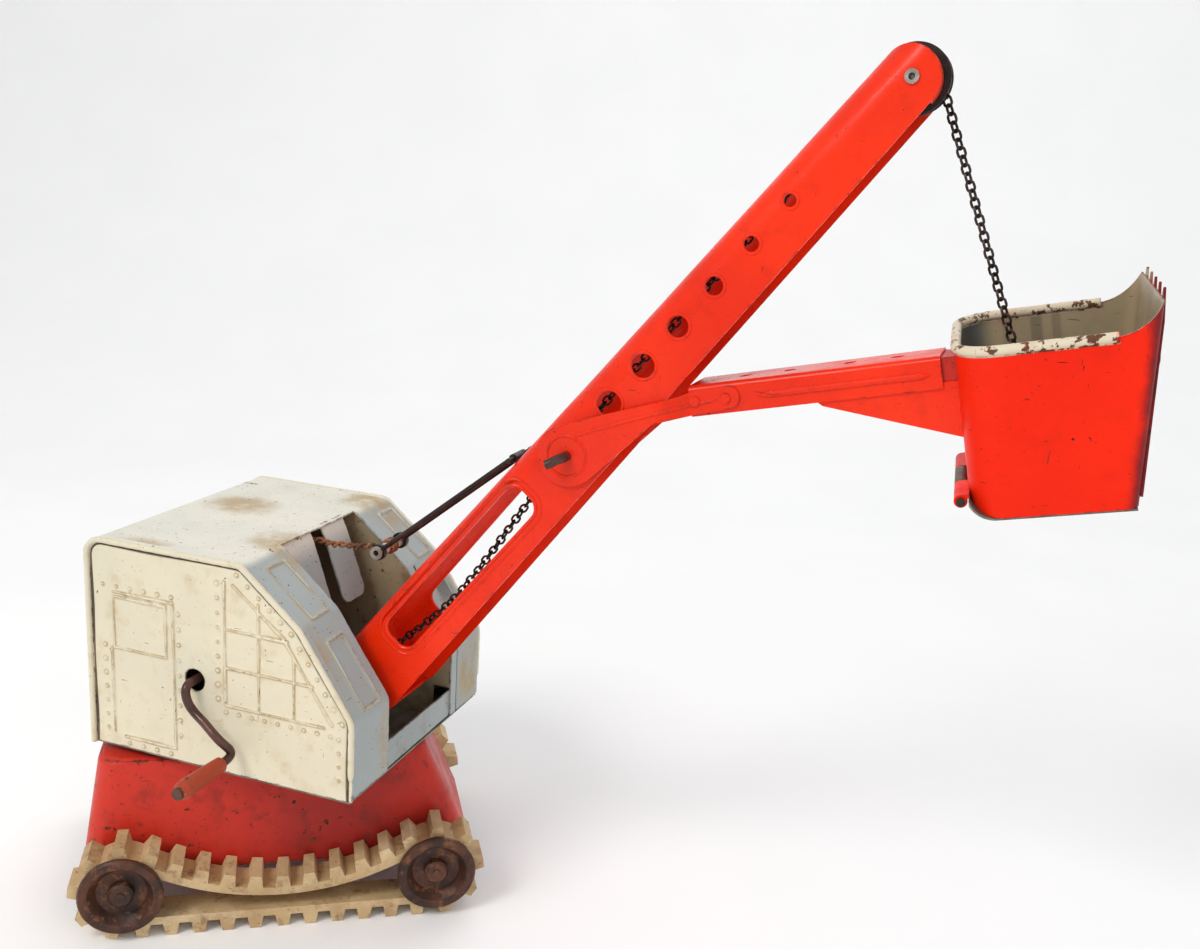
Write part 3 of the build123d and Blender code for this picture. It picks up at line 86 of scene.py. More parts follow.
WINDOW_INSET, RIVET_INSET, RIVET_SPACING = 9.5, 5.0, 6.2
COLUMN_WINDOW_WIDTHS = ((-45.5, -34.0), (39.0, 50.5))

# boom, arm and bucket, each in its own frame
BOOM_STATIONS = ((-14.0, 21.0), (150.0, 14.0), (313.0, 12.8))
BOOM_SLOT = (21.5, 105.5, -2.8, 11.0)
BOOM_SLOT_CORNER = 5.0
BOOM_HOLES = (4.6, 4.3, 3.8, 3.2, 2.6, 2.1)
FIRST_HOLE, HOLE_SPACING = (153.5, 4.0), 19.0
HOLE_SLOPE = 0.006
ARM_HALF = 12.4
YOKE_OUTER = 16.9
YOKE_JOGGLE = (36.0, 48.0)
SLOT_LIPS = ((0.7, 0.75), (3.0, 0.50))
HOLE_LIP_OFFSET, HOLE_LIP_R = 0.6, 0.62
ARM_RIB_X, ARM_RIB_Z, ARM_RIB_R = (72.0, 131.0), 13.4, 1.15
YOKE_LINE_X, YOKE_LINE_Z = (2.0, 12.0, 36.0, 60.0), (6.6, 8.4, 11.6, 13.9)
YOKE_LINE_R = 0.70
PIVOT_ROUND_R, PIVOT_ROUND_WIRE_R = 7.6, 0.62
BUCKET_TURN_AT = (138.2, 0.0, 6.5)
BUCKET_ROLL, BUCKET_DIP, BUCKET_YAW = 5.5, 1.0, 3.0
BUCKET_MIDDLE_X, BUCKET_HALF_LENGTH, BUCKET_HALF_WIDTH = 165.0, 27.0, 29.0
BUCKET_RIM_Z, BUCKET_RIM_END_X = 24.0, 185.5
BUCKET_FRONT_LOW_X, BUCKET_LOW_Z, BUCKET_FRONT_LEAN = 188.7, -31.0, 0.163

# chain and cord
LINK_PITCH = 2.8
LINK_WIRE_R = 0.45
LINK_WIDTH = 3.7
LINK_HALF_STRAIGHT = 0.38
CHAIN_TAIL = 13.0
CHAIN_HEAD_GAP = 14.0
CORD_STRAND_R = 0.62
CORD_TWIST_R = 0.85
CORD_TWIST_LENGTH = 7.0

# camera, in degrees, and in metres from the foot of the slewing axis
CAMERA_AT = (0.2862, -0.4285, 0.3137)
CAMERA_AZIMUTH, CAMERA_ELEVATION, CAMERA_ROLL = 18.99, 14.41, 3.52
CAMERA_LENS = 37.36

# The script counts positions from the foot of the slewing axis, which isn't the frame's origin.
SLEW_AXIS = np.array((joints["house_slew"]["pos_m"][0], 0.0, 0.0)) / MM
AXIS_SHIFT = Vector(SLEW_AXIS * MM)


def pivot_mm(joint_name):
    """Position of a joint in millimetres from the foot of the slewing axis."""
    return np.array(joints[joint_name]["pos_m"], float) / MM - SLEW_AXIS


def box_mm(node_name):
    """Two corners of a CAD node's box in millimetres from the foot of the slewing axis."""
    low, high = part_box(node_name)
    return np.array(low) / MM - SLEW_AXIS, np.array(high) / MM - SLEW_AXIS


BOOM_ANGLE = math.radians(52.0)
ARM_ANGLE = math.radians(13.5)
BOOM_PIVOT = pivot_mm("boom_luff")
ARM_PIVOT = pivot_mm("arm_lift")


def in_tilted_frame(points, origin, angle):
    """Points given along, across and square to a tilted part, as world points."""
    points = np.asarray(points, float).reshape(-1, 3)
    u, y, w = points[:, 0], points[:, 1], points[:, 2]
    x = origin[0] + u * math.cos(angle) - w * math.sin(angle)
    z = origin[2] + u * math.sin(angle) + w * math.cos(angle)
    return np.stack([x, y, z], axis=1)


def boom_points(points):
    return in_tilted_frame(points, BOOM_PIVOT, BOOM_ANGLE)


def arm_points(points):
    return in_tilted_frame(points, ARM_PIVOT, ARM_ANGLE)


def bucket_axes():
    """World directions of the crooked bucket's own X, Y and Z, and its origin in millimetres."""
    arm = Matrix.Rotation(-ARM_ANGLE, 3, "Y")
    tilt = (Matrix.Rotation(math.radians(BUCKET_YAW), 3, "Z")
            @ Matrix.Rotation(math.radians(BUCKET_DIP), 3, "Y")
            @ Matrix.Rotation(math.radians(BUCKET_ROLL), 3, "X"))
    turn = arm @ tilt
    seat = Vector(BUCKET_TURN_AT)
    origin = Vector(ARM_PIVOT) + arm @ seat - turn @ seat
    return [tuple(turn.col[k]) for k in range(3)], tuple(origin)


# ==============================
# materials
# ==============================
materials = {}


class Graph:
    """A short way to write a node material, which is kept in materials under its name."""

    def __init__(self, name):
        self.name = name
        self.material = bpy.data.materials.new(name)
        self.material.use_nodes = True
        self.tree = self.material.node_tree
        self.shader = self.tree.nodes["Principled BSDF"]
        coordinates = self.tree.nodes.new("ShaderNodeTexCoord")
        shift = self.tree.nodes.new("ShaderNodeVectorMath")
        shift.operation = "SUBTRACT"
        self.put(shift.inputs[0], coordinates.outputs["Object"])
        shift.inputs[1].default_value = AXIS_SHIFT
        self.place = shift.outputs["Vector"]
        self.facing = coordinates.outputs["Normal"]

    def put(self, socket, value):
        if isinstance(value, bpy.types.NodeSocket):
            self.tree.links.new(value, socket)
        elif isinstance(value, tuple) and len(value) == 3 and socket.type == "RGBA":
            socket.default_value = (*value, 1.0)
        else:
            socket.default_value = value

    def noise(self, scale, detail=4.0, roughness=0.55, stretch=None, offset=0.0):
        mapping = self.tree.nodes.new("ShaderNodeMapping")
        self.put(mapping.inputs["Vector"], self.place)
        mapping.inputs["Location"].default_value = (offset, offset * 0.7, offset * 1.3)
        mapping.inputs["Scale"].default_value = stretch or (1.0, 1.0, 1.0)
        node = self.tree.nodes.new("ShaderNodeTexNoise")
        self.put(node.inputs["Vector"], mapping.outputs["Vector"])
        node.inputs["Scale"].default_value = scale
        node.inputs["Detail"].default_value = detail
        node.inputs["Roughness"].default_value = roughness
        return node.outputs["Fac"]

    def step(self, value, low, high, to_low=0.0, to_high=1.0):
        """Smooth change from to_low to to_high while value goes from low to high."""
        node = self.tree.nodes.new("ShaderNodeMapRange")
        node.interpolation_type = "SMOOTHSTEP"
        self.put(node.inputs["Value"], value)
        node.inputs["From Min"].default_value = low
        node.inputs["From Max"].default_value = high
        node.inputs["To Min"].default_value = to_low
        node.inputs["To Max"].default_value = to_high
        return node.outputs["Result"]

    def math(self, operation, first, second=0.0, clamp=False):
        node = self.tree.nodes.new("ShaderNodeMath")
        node.operation = operation
        node.use_clamp = clamp
        self.put(node.inputs[0], first)
        self.put(node.inputs[1], second)
        return node.outputs["Value"]

    def mix(self, share, first, second):
        node = self.tree.nodes.new("ShaderNodeMix")
        node.data_type = "RGBA"
        colour_inputs = [socket for socket in node.inputs if socket.type == "RGBA"]
        self.put(node.inputs["Factor"], share)
        self.put(colour_inputs[0], first)
        self.put(colour_inputs[1], second)
        return [socket for socket in node.outputs if socket.type == "RGBA"][0]

    def edge(self, radius=0.0011):
        """Near 1 on sharp edges and 0 on flat faces."""
        bevel = self.tree.nodes.new("ShaderNodeBevel")
        bevel.samples = 4
        bevel.inputs["Radius"].default_value = radius
        geometry = self.tree.nodes.new("ShaderNodeNewGeometry")
        dot = self.tree.nodes.new("ShaderNodeVectorMath")
        dot.operation = "DOT_PRODUCT"
        self.put(dot.inputs[0], bevel.outputs["Normal"])
        self.put(dot.inputs[1], geometry.outputs["Normal"])
        return self.step(dot.outputs["Value"], 0.98, 0.80)

    def dot(self, vector, direction):
        node = self.tree.nodes.new("ShaderNodeVectorMath")
        node.operation = "DOT_PRODUCT"
        self.put(node.inputs[0], vector)
        node.inputs[1].default_value = direction
        return node.outputs["Value"]

    def along(self, direction, origin=(0.0, 0.0, 0.0)):
        """Millimetres from an origin along a direction, at rest."""
        offset = sum(a * b for a, b in zip(direction, origin))
        return self.math("SUBTRACT", self.dot(self.place, tuple(v / MM for v in direction)), offset)

    def relief(self):
        """Height of the pressing at this point, in millimetres; 0 on plain sheet."""
        node = self.tree.nodes.new("ShaderNodeAttribute")
        node.attribute_name = "relief"
        return node.outputs["Fac"]

    def bump(self, height, strength, distance):
        node = self.tree.nodes.new("ShaderNodeBump")
        node.inputs["Strength"].default_value = strength
        node.inputs["Distance"].default_value = distance
        self.put(node.inputs["Height"], height)
        self.put(self.shader.inputs["Normal"], node.outputs["Normal"])

    def finish(self, colour, roughness, metallic=0.0, coat=0.0, specular=0.5):
        self.put(self.shader.inputs["Base Color"], colour)
        self.put(self.shader.inputs["Roughness"], roughness)
        self.put(self.shader.inputs["Metallic"], metallic)
        self.shader.inputs["Specular IOR Level"].default_value = specular
        self.shader.inputs["Coat Weight"].default_value = coat
        self.shader.inputs["Coat Roughness"].default_value = 0.12
        materials[self.name] = self.material
        return self.material


def painted(name, paint, faded, chip_light, chip_dark, chips=0.70, edges=0.5, gloss=0.3,
            stain=(0.55, 0.36, 0.16), stains=0.25, specks=0.715, coat=0.0, specular=0.25,
            zones=None):
    """Old stove enamel on tin: uneven tone, stains, specks, chips and worn edges.

    zones(graph, colour) returns the colour with its differently coloured areas added.
    """
    g = Graph(name)
    tone = g.noise(16.0, 5.0, offset=3.0)
    colour = g.mix(g.step(tone, 0.35, 0.68), paint, faded)
    if zones:
        colour = zones(g, colour)
    film = g.noise(90.0, 5.0, 0.6, offset=7.0)
    stain_share = g.math("MULTIPLY", g.step(film, 0.50, 0.74), stains)
    colour = g.mix(stain_share, colour, stain)
    flakes = g.noise(330.0, 9.0, 0.62, offset=11.0)
    patches = g.step(g.noise(26.0, 3.0, offset=19.0), 0.42, 0.66)
    flaked = g.step(g.math("ADD", flakes, g.math("MULTIPLY", patches, 0.045)),
                    chips, chips + 0.018)
    pin_points = g.step(g.noise(900.0, 2.0, offset=23.0), specks, specks + 0.02)
    scratch_a = g.noise(120.0, 2.0, 0.5, (1.0, 1.0, 14.0), 31.0)
    scratch_b = g.noise(120.0, 2.0, 0.5, (14.0, 9.0, 1.0), 37.0)
    scratched = g.math("MAXIMUM", g.step(scratch_a, 0.745, 0.765), g.step(scratch_b, 0.745, 0.765))
    rim = g.math("MULTIPLY", g.edge(), g.step(g.noise(210.0, 6.0, 0.7, offset=41.0),
                                            0.64 - 0.22 * edges, 0.72 - 0.22 * edges))
    bare = g.math("MAXIMUM", g.math("MAXIMUM", flaked, pin_points),
                  g.math("MAXIMUM", scratched, rim), clamp=True)
    halo = g.math("MULTIPLY", g.step(flakes, chips - 0.07, chips), 0.35)
    colour = g.mix(halo, colour, stain)
    metal = g.mix(g.step(g.noise(420.0, 5.0, offset=47.0), 0.42, 0.62), chip_dark, chip_light)
    colour = g.mix(bare, colour, metal)
    smear = g.step(g.noise(60.0, 6.0, 0.65, offset=53.0), 0.35, 0.75, gloss, gloss + 0.22)
    roughness = g.math("MAXIMUM", smear, g.math("MULTIPLY", bare, 0.72))
    relief = g.math("SUBTRACT", g.math("MULTIPLY", g.noise(150.0, 3.0, offset=59.0), 0.10),
                    g.math("MULTIPLY", bare, 0.5))
    g.bump(relief, 0.55, 0.00025)
    return g.finish(colour, roughness, coat=coat, specular=specular)


def bare_metal(name, light, dark, rust, rusty=0.5, roughness=0.4, metallic=0.8):
    """Plain or thinly plated steel with tarnish, rust bloom and pits."""
    g = Graph(name)
    tarnish = g.noise(75.0, 7.0, 0.65, offset=5.0)
    colour = g.mix(g.step(tarnish, 0.36, 0.64), light, dark)
    bloom = g.step(g.noise(240.0, 8.0, 0.68, offset=13.0), 0.66 - 0.24 * rusty, 0.76 - 0.2 * rusty)
    colour = g.mix(bloom, colour, rust)
    pits = g.step(g.noise(800.0, 4.0, 0.6, offset=17.0), 0.60, 0.70)
    colour = g.mix(g.math("MULTIPLY", pits, 0.6), colour, dark)
    rough = g.step(g.noise(130.0, 6.0, 0.6, offset=29.0), 0.3, 0.7, roughness - 0.1, roughness + 0.2)
    rough = g.math("MAXIMUM", rough, g.math("MULTIPLY", bloom, 0.85))
    shine = g.math("MULTIPLY", g.math("SUBTRACT", 1.0, bloom), metallic)
    g.bump(g.math("SUBTRACT", g.math("MULTIPLY", bloom, 0.3), g.math("MULTIPLY", pits, 0.4)),
           0.5, 0.0003)
    return g.finish(colour, rough, shine)


def old_rubber(name):
    """Aged tan rubber: grey-brown dirt in the hollows, cracks and a powdery face."""
    g = Graph(name)
    tone = g.noise(24.0, 6.0, 0.6, offset=2.0)
    colour = g.mix(g.step(tone, 0.34, 0.68), (0.64, 0.46, 0.24), (0.40, 0.25, 0.115))
    powder = g.step(g.noise(70.0, 7.0, 0.7, offset=6.0), 0.48, 0.72)
    colour = g.mix(g.math("MULTIPLY", powder, 0.55), colour, (0.76, 0.62, 0.40))
    dirt = g.step(g.noise(130.0, 8.0, 0.72, offset=9.0), 0.52, 0.68)
    colour = g.mix(g.math("MULTIPLY", dirt, 0.65), colour, (0.20, 0.10, 0.045))
    cracks = g.step(g.noise(500.0, 6.0, 0.7, (1.0, 1.0, 2.6), 15.0), 0.62, 0.67)
    colour = g.mix(g.math("MULTIPLY", cracks, 0.7), colour, (0.10, 0.05, 0.025))
    grain = g.noise(900.0, 5.0, 0.6, offset=21.0)
    relief = g.math("SUBTRACT", g.math("MULTIPLY", grain, 0.4), g.math("MULTIPLY", cracks, 0.7))
    g.bump(relief, 0.7, 0.0004)
    rough = g.step(powder, 0.0, 1.0, 0.62, 0.88)
    return g.finish(colour, rough)


RUST = (0.17, 0.06, 0.022)
DARK = (0.018, 0.012, 0.009)
CREAM = (0.70, 0.62, 0.46)
COOL_GREY = (0.36, 0.41, 0.40)
RIM_BROWN = (0.13, 0.055, 0.028)


def pressing_stains_and_highlights(g, colour):
    """Yellow-brown dirt beside the raised lines, a painted highlight on their crests and dark grooves."""
    relief = g.relief()
    flank = g.math("MULTIPLY", g.step(relief, 0.04, 0.20), g.step(relief, 0.62, 0.34))
    patchy = g.step(g.noise(110.0, 5.0, 0.6, offset=61.0), 0.30, 0.62, 0.15, 0.85)
    colour = g.mix(g.math("MULTIPLY", flank, patchy), colour, (0.42, 0.29, 0.13))
    # painted highlight: the crests of the pressed lines and rivets are painted paler
    colour = g.mix(g.step(relief, 0.45, 0.70, 0.0, 0.55), colour, (0.78, 0.73, 0.58))
    return g.mix(g.step(relief, -0.18, -0.46, 0.0, 0.9), colour, (0.055, 0.036, 0.022))


def grey_front(g, colour):
    """The roof sheet turns blue-grey where it bends down over the front slopes."""
    front = g.step(g.along((1.0, 0.0, 0.0)), *GREY_FROM_X)
    return pressing_stains_and_highlights(g, g.mix(front, colour, COOL_GREY))


def bucket_zones(g, colour):
    """Beige inside with grey bands and a dark blue-grey rear that is partly painted shade, cream rolled rim with
    brown chips, dark front edge.
    """
    (x_axis, y_axis, z_axis), origin = bucket_axes()
    x = g.along(x_axis, origin)
    y = g.along(y_axis, origin)
    z = g.along(z_axis, origin)
    front_x = g.math("ADD", g.math("MULTIPLY", g.math("SUBTRACT", z, BUCKET_LOW_Z),
                                   BUCKET_FRONT_LEAN), BUCKET_FRONT_LOW_X)
    to_front = g.math("SUBTRACT", front_x, x)
    ragged = g.math("MULTIPLY", g.math("SUBTRACT", g.noise(70.0, 6.0, 0.65, offset=67.0), 0.5), 9.0)
    edge = g.step(g.math("ADD", to_front, ragged), 5.5, 0.5, 0.0, 0.88)
    colour = g.mix(edge, colour, (0.115, 0.012, 0.016))
    outward_x = g.math("MULTIPLY", g.dot(g.facing, x_axis), g.math(
        "MULTIPLY", g.math("SUBTRACT", x, BUCKET_MIDDLE_X), 1 / BUCKET_HALF_LENGTH))
    outward_y = g.math("MULTIPLY", g.dot(g.facing, y_axis), g.math(
        "MULTIPLY", y, 1 / BUCKET_HALF_WIDTH))
    inside = g.step(g.math("ADD", outward_x, outward_y), -0.10, -0.30)
    dusty = g.step(g.noise(22.0, 5.0, 0.6, (1.0, 1.0, 0.35), 71.0), 0.34, 0.66)
    lining = g.mix(dusty, (0.42, 0.33, 0.20), (0.31, 0.26, 0.17))
    for middle, half, share in ((164.5, 2.6, 0.60), (171.0, 2.0, 0.45), (154.5, 1.6, 0.25)):
        away = g.math("ABSOLUTE", g.math("SUBTRACT", x, middle))
        lining = g.mix(g.step(away, half, half * 0.45, 0.0, share), lining, (0.16, 0.135, 0.095))
    # partly a real dark patch, partly painted shade: the inside turns dark blue-grey towards the rear wall
    lining = g.mix(g.step(x, 152.0, 143.5, 0.0, 0.85), lining, (0.075, 0.090, 0.098))
    colour = g.mix(inside, colour, lining)
    off_rim = g.math("ABSOLUTE", g.math("SUBTRACT", z, BUCKET_RIM_Z))
    on_rim = g.math("MULTIPLY", g.step(off_rim, 2.3, 1.7), g.step(x, BUCKET_RIM_END_X + 1.0,
                                                                  BUCKET_RIM_END_X - 1.0))
    worn = g.step(g.math("ADD", g.noise(260.0, 7.0, 0.65, offset=73.0),
                         g.step(x, 140.0, 184.0, -0.03, 0.04)), 0.535, 0.575)
    rim = g.mix(worn, CREAM, RIM_BROWN)
    return g.mix(on_rim, colour, rim)


painted(
    "chassis_paint", (0.60, 0.032, 0.016), (0.41, 0.021, 0.014), (0.16, 0.05, 0.03), DARK,
    chips=0.665, edges=0.75, gloss=0.34, stain=(0.17, 0.018, 0.012), stains=0.55, specks=0.70)
painted(
    "boom_paint", (0.86, 0.030, 0.003), (0.74, 0.022, 0.003), (0.22, 0.045, 0.02), DARK,
    chips=0.715, edges=0.55, gloss=0.24, stain=(0.42, 0.014, 0.004), stains=0.3, specks=0.74,
    coat=0.12, specular=0.18)
painted(
    "bucket_paint", (0.90, 0.020, 0.002), (0.82, 0.016, 0.002), (0.20, 0.035, 0.02), DARK,
    chips=0.712, edges=0.70, gloss=0.30, stain=(0.45, 0.012, 0.004), stains=0.22, specks=0.73,
    specular=0.12, zones=bucket_zones)
painted(
    "house_paint", (0.74, 0.67, 0.50), (0.66, 0.61, 0.47), RUST, (0.035, 0.022, 0.014),
    chips=0.700, edges=0.62, gloss=0.36, stain=(0.50, 0.34, 0.13), stains=0.36, specks=0.715,
    zones=pressing_stains_and_highlights)
painted(
    "house_roof", (0.74, 0.71, 0.61), (0.65, 0.65, 0.57), RUST, (0.035, 0.022, 0.014),
    chips=0.690, edges=0.7, gloss=0.34, stain=(0.46, 0.33, 0.15), stains=0.12, specks=0.700,
    zones=grey_front)
painted(
    "house_grey", COOL_GREY, (0.30, 0.34, 0.33), RUST, (0.035, 0.022, 0.014),
    chips=0.680, edges=0.8, gloss=0.34, stain=(0.30, 0.18, 0.08), stains=0.42, specks=0.705)
painted(
    "frame_olive", (0.33, 0.29, 0.18), (0.23, 0.205, 0.13), RUST, (0.05, 0.03, 0.018),
    chips=0.660, edges=0.8, gloss=0.42, stain=(0.17, 0.09, 0.035), stains=0.6, specks=0.70)
painted(
    "handle_paint", (0.42, 0.060, 0.024), (0.30, 0.040, 0.018), (0.55, 0.20, 0.12),
    (0.12, 0.04, 0.025), chips=0.640, edges=0.85, gloss=0.38, stain=(0.16, 0.04, 0.02),
    stains=0.6)
bare_metal("bare_tin", (0.27, 0.27, 0.22), (0.13, 0.12, 0.095), RUST,
           rusty=0.45, roughness=0.5, metallic=0.45)
bare_metal("plated_steel", (0.62, 0.56, 0.50), (0.30, 0.24, 0.21), RUST,
           rusty=0.25, roughness=0.32, metallic=0.9)
bare_metal("brown_steel", (0.105, 0.036, 0.018), (0.030, 0.015, 0.011),
           (0.19, 0.070, 0.026), rusty=0.55, roughness=0.42, metallic=0.35)
bare_metal("brown_wire", (0.115, 0.050, 0.036), (0.055, 0.026, 0.020),
           (0.15, 0.055, 0.028), rusty=0.2, roughness=0.32, metallic=0.4)
bare_metal("dark_steel", (0.045, 0.030, 0.024), (0.016, 0.012, 0.010),
           (0.11, 0.040, 0.018), rusty=0.3, roughness=0.36, metallic=0.6)
bare_metal("chain_steel", (0.060, 0.036, 0.028), (0.018, 0.012, 0.010),
           (0.13, 0.050, 0.024), rusty=0.35, roughness=0.38, metallic=0.6)
bare_metal("rusty_cord", (0.26, 0.105, 0.045), (0.10, 0.042, 0.022),
           (0.33, 0.13, 0.05), rusty=0.8, roughness=0.8, metallic=0.0)
old_rubber("track_rubber")

# nodes whose colour differs from the rest of their material slot
NODE_LOOKS = {"bucket_shell": "bucket_paint", "tooth_plate": "bucket_paint",
              "bucket_door": "bare_tin", "front_skirt": "house_grey",
              # bucket_bracket takes the darker chassis red as painted shade of the recess at the arm's end
              "chain_rod": "bucket_paint", "bucket_bracket": "chassis_paint",
              "door_hinge_pin": "dark_steel", "tooth_plate_rivets": "dark_steel",
              "winch_frame_right": "frame_olive", "winch_frame_left": "frame_olive"}

record_slots = {part["node"]: part["material_slot"] for part in frame["record"]["subparts"]}
for node_name, node in nodes.items():
    node.data.materials.clear()
    look = NODE_LOOKS.get(node_name, record_slots[node_name])
    node.data.materials.append(materials[look])


# ==============================
# mesh tools
# ==============================
class Shape:
    """Vertices in millimetres and faces, gathered before a mesh is made of them."""

    def __init__(self):
        self.vertices = []
        self.reliefs = []
        self.faces = []
        self.count = 0

    def add(self, vertices, faces, relief=None):
        vertices = np.asarray(vertices, float).reshape(-1, 3)
        self.vertices.append(vertices)
        self.reliefs.append(np.zeros(len(vertices)) if relief is None else relief)
        self.faces += [tuple(int(i) + self.count for i in face) for face in faces]
        self.count += len(vertices)
        return self

    def piece(self, name, slot, body, replaced=(), sharp_angle=35.0, look=None):
        """The finished object, on its body, in place of the CAD nodes it stands for."""
        mesh = bpy.data.meshes.new(name)
        points = (np.concatenate(self.vertices) + SLEW_AXIS) * MM
        mesh.from_pydata(points.tolist(), [], self.faces)
        mesh.attributes.new("relief", "FLOAT", "POINT").data.foreach_set(
            "value", np.concatenate(self.reliefs).astype(np.float32))
        mesh.validate()
        mesh.shade_smooth()
        mesh.set_sharp_from_angle(angle=math.radians(sharp_angle))
        mesh.materials.append(materials[look or slot])
        piece = bpy.data.objects.new(name, mesh)
        bpy.context.scene.collection.objects.link(piece)
        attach(piece, body)
        if replaced:
            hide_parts(*replaced)
        return piece


def rounded_path(corners, radii, step=0.5):
    """Dense points along a polyline whose inner corners are rounded."""
    corners = [np.array(corner, float) for corner in corners]
    points = [corners[0]]
    for i, radius in enumerate(radii, start=1):
        before = corners[i - 1] - corners[i]
        after = corners[i + 1] - corners[i]
        before /= np.linalg.norm(before)
        after /= np.linalg.norm(after)
        half = math.acos(np.clip(before @ after, -1, 1)) / 2
        bisector = before + after
        centre = corners[i] + bisector / np.linalg.norm(bisector) * radius / math.sin(half)
        first = corners[i] + before * radius / math.tan(half)
        last = corners[i] + after * radius / math.tan(half)
        a, b = first - centre, last - centre
        sweep = math.acos(np.clip(a @ b / radius ** 2, -1, 1))
        steps = max(2, int(sweep * radius / step))
        for k in range(steps + 1):
            t = k / steps
            mixed = (math.sin((1 - t) * sweep) * a + math.sin(t * sweep) * b) / math.sin(sweep)
            points.append(centre + mixed)
    points.append(corners[-1])
    return resampled(np.array(points), step)


def resampled(points, step):
    """The same path with evenly spaced points, its two ends kept."""
    points = np.asarray(points, float)
    lengths = np.concatenate([[0], np.cumsum(np.linalg.norm(np.diff(points, axis=0), axis=1))])
    count = max(2, int(round(lengths[-1] / step)) + 1)
    at = np.linspace(0, lengths[-1], count)
    return np.stack([np.interp(at, lengths, points[:, k]) for k in range(points.shape[1])], axis=1)


def rings_across(along, across, sides):
    """Unit circles square to the directions of a path."""
    along = along / np.linalg.norm(along, axis=1)[:, None]
    first = np.cross(along, across)
    first /= np.linalg.norm(first, axis=1)[:, None]
    second = np.cross(along, first)
    angles = np.linspace(0, 2 * math.pi, sides, endpoint=False)
    return (np.cos(angles)[None, :, None] * first[:, None, :]
            + np.sin(angles)[None, :, None] * second[:, None, :])


def tube(points, radius, sides=12, across=(0.0, 1.0, 0.0), taper=None):
    """Round tube along a path with closed ends; radius may be scaled point by point."""
    points = np.asarray(points, float)
    ring = rings_across(np.gradient(points, axis=0), across, sides)
    scale = np.ones(len(points)) if taper is None else np.asarray(taper, float)
    vertices = points[:, None, :] + ring * radius * scale[:, None, None]
    faces = []
    for i in range(len(points) - 1):
        for k in range(sides):
            after = (k + 1) % sides
            faces.append((i * sides + k, i * sides + after,
                          (i + 1) * sides + after, (i + 1) * sides + k))
    faces.append(tuple(range(sides))[::-1])
    faces.append(tuple((len(points) - 1) * sides + k for k in range(sides)))
    return vertices.reshape(-1, 3), faces


def sheet(distance, bounds, step, place, height, thickness=SHEET):
    """Embossed sheet with two skins and a closed rim.

    distance(s, t) is negative inside the sheet. place(s, t, h) gives the world point at
    height h above the sheet's face. height(s, t) is the embossing.
    """
    s_low, s_high, t_low, t_high = bounds
    s_count = int(round((s_high - s_low) / step)) + 1
    t_count = int(round((t_high - t_low) / step)) + 1
    s, t = np.meshgrid(np.linspace(s_low, s_high, s_count), np.linspace(t_low, t_high, t_count),
                       indexing="ij")
    centre_s = (s[:-1, :-1] + s[1:, 1:]) / 2
    centre_t = (t[:-1, :-1] + t[1:, 1:]) / 2
    kept = distance(centre_s, centre_t) < 0
    around = np.zeros(s.shape, int)
    for di in (0, 1):
        for dj in (0, 1):
            around[di:di + s_count - 1, dj:dj + t_count - 1] += kept
    border = (around > 0) & (around < 4)
    for _ in range(2):
        off = distance(s, t)
        e = 0.02
        slope_s = (distance(s + e, t) - distance(s - e, t)) / (2 * e)
        slope_t = (distance(s, t + e) - distance(s, t - e)) / (2 * e)
        move = border & (np.abs(off) < 1.5 * step)
        s = np.where(move, s - off * slope_s, s)
        t = np.where(move, t - off * slope_t, t)
    used = around > 0
    index = -np.ones(s.shape, int)
    index[used] = np.arange(used.sum())
    count = int(used.sum())
    relief = height(s, t)[used]
    front = place(s[used], t[used], relief)
    back = place(s[used], t[used], relief - thickness)
    quads = [(index[i, j], index[i + 1, j], index[i + 1, j + 1], index[i, j + 1])
             for i, j in zip(*np.nonzero(kept))]
    faces = list(quads)
    faces += [tuple(k + count for k in quad[::-1]) for quad in quads]
    edges = {}
    for quad in quads:
        for a, b in zip(quad, quad[1:] + quad[:1]):
            edges[(a, b)] = edges.get((a, b), 0) + 1
    for a, b in edges:
        if (b, a) not in edges:
            faces.append((b, a, a + count, b + count))
    return np.concatenate([front, back]), faces, np.concatenate([relief, relief])


def rectangle(s, t, s_low, s_high, t_low, t_high, corner=0.0):
    """Signed distance to a rectangle, negative inside."""
    ds = np.abs(s - (s_low + s_high) / 2) - (s_high - s_low) / 2 + corner
    dt = np.abs(t - (t_low + t_high) / 2) - (t_high - t_low) / 2 + corner
    outside = np.hypot(np.maximum(ds, 0), np.maximum(dt, 0))
    return outside + np.minimum(np.maximum(ds, dt), 0) - corner


def disc(s, t, centre_s, centre_t, radius):
    return np.hypot(s - centre_s, t - centre_t) - radius


def ridge(away, width, rise):
    """Height of a rounded line at a distance from its middle."""
    return rise * np.exp(-(away / width) ** 2)


def line_ridge(s, t, start, end, width=0.60, rise=0.72):
    """Pressed line between two points."""
    (ax, ay), (bx, by) = start, end
    length_2 = (bx - ax) ** 2 + (by - ay) ** 2
    along = np.clip(((s - ax) * (bx - ax) + (t - ay) * (by - ay)) / length_2, 0, 1)
    return ridge(np.hypot(s - ax - along * (bx - ax), t - ay - along * (by - ay)), width, rise)


def dome_row(s, t, start, end, spacing, radius=0.85, rise=0.85):
    """Row of pressed rivet heads between two points."""
    start, end = np.array(start, float), np.array(end, float)
    count = max(1, int(round(np.linalg.norm(end - start) / spacing)))
    total = np.zeros(np.shape(s))
    for k in range(count + 1):
        x, y = start + (end - start) * k / count
        total = np.maximum(total, ridge(np.hypot(s - x, t - y), radius, rise))
    return total


# ==============================
# house
# ==============================
HOUSE_CORNERS = [(HOUSE_REAR, HOUSE_LOW), (HOUSE_REAR, ROOF_Z), (ROOF_FRONT, ROOF_Z), SLOPE_BREAK,
                 (HOUSE_FRONT, FRONT_TOP), (HOUSE_FRONT, HOUSE_LOW)]
house_path = rounded_path(HOUSE_CORNERS, CORNER_RADII, 0.5)


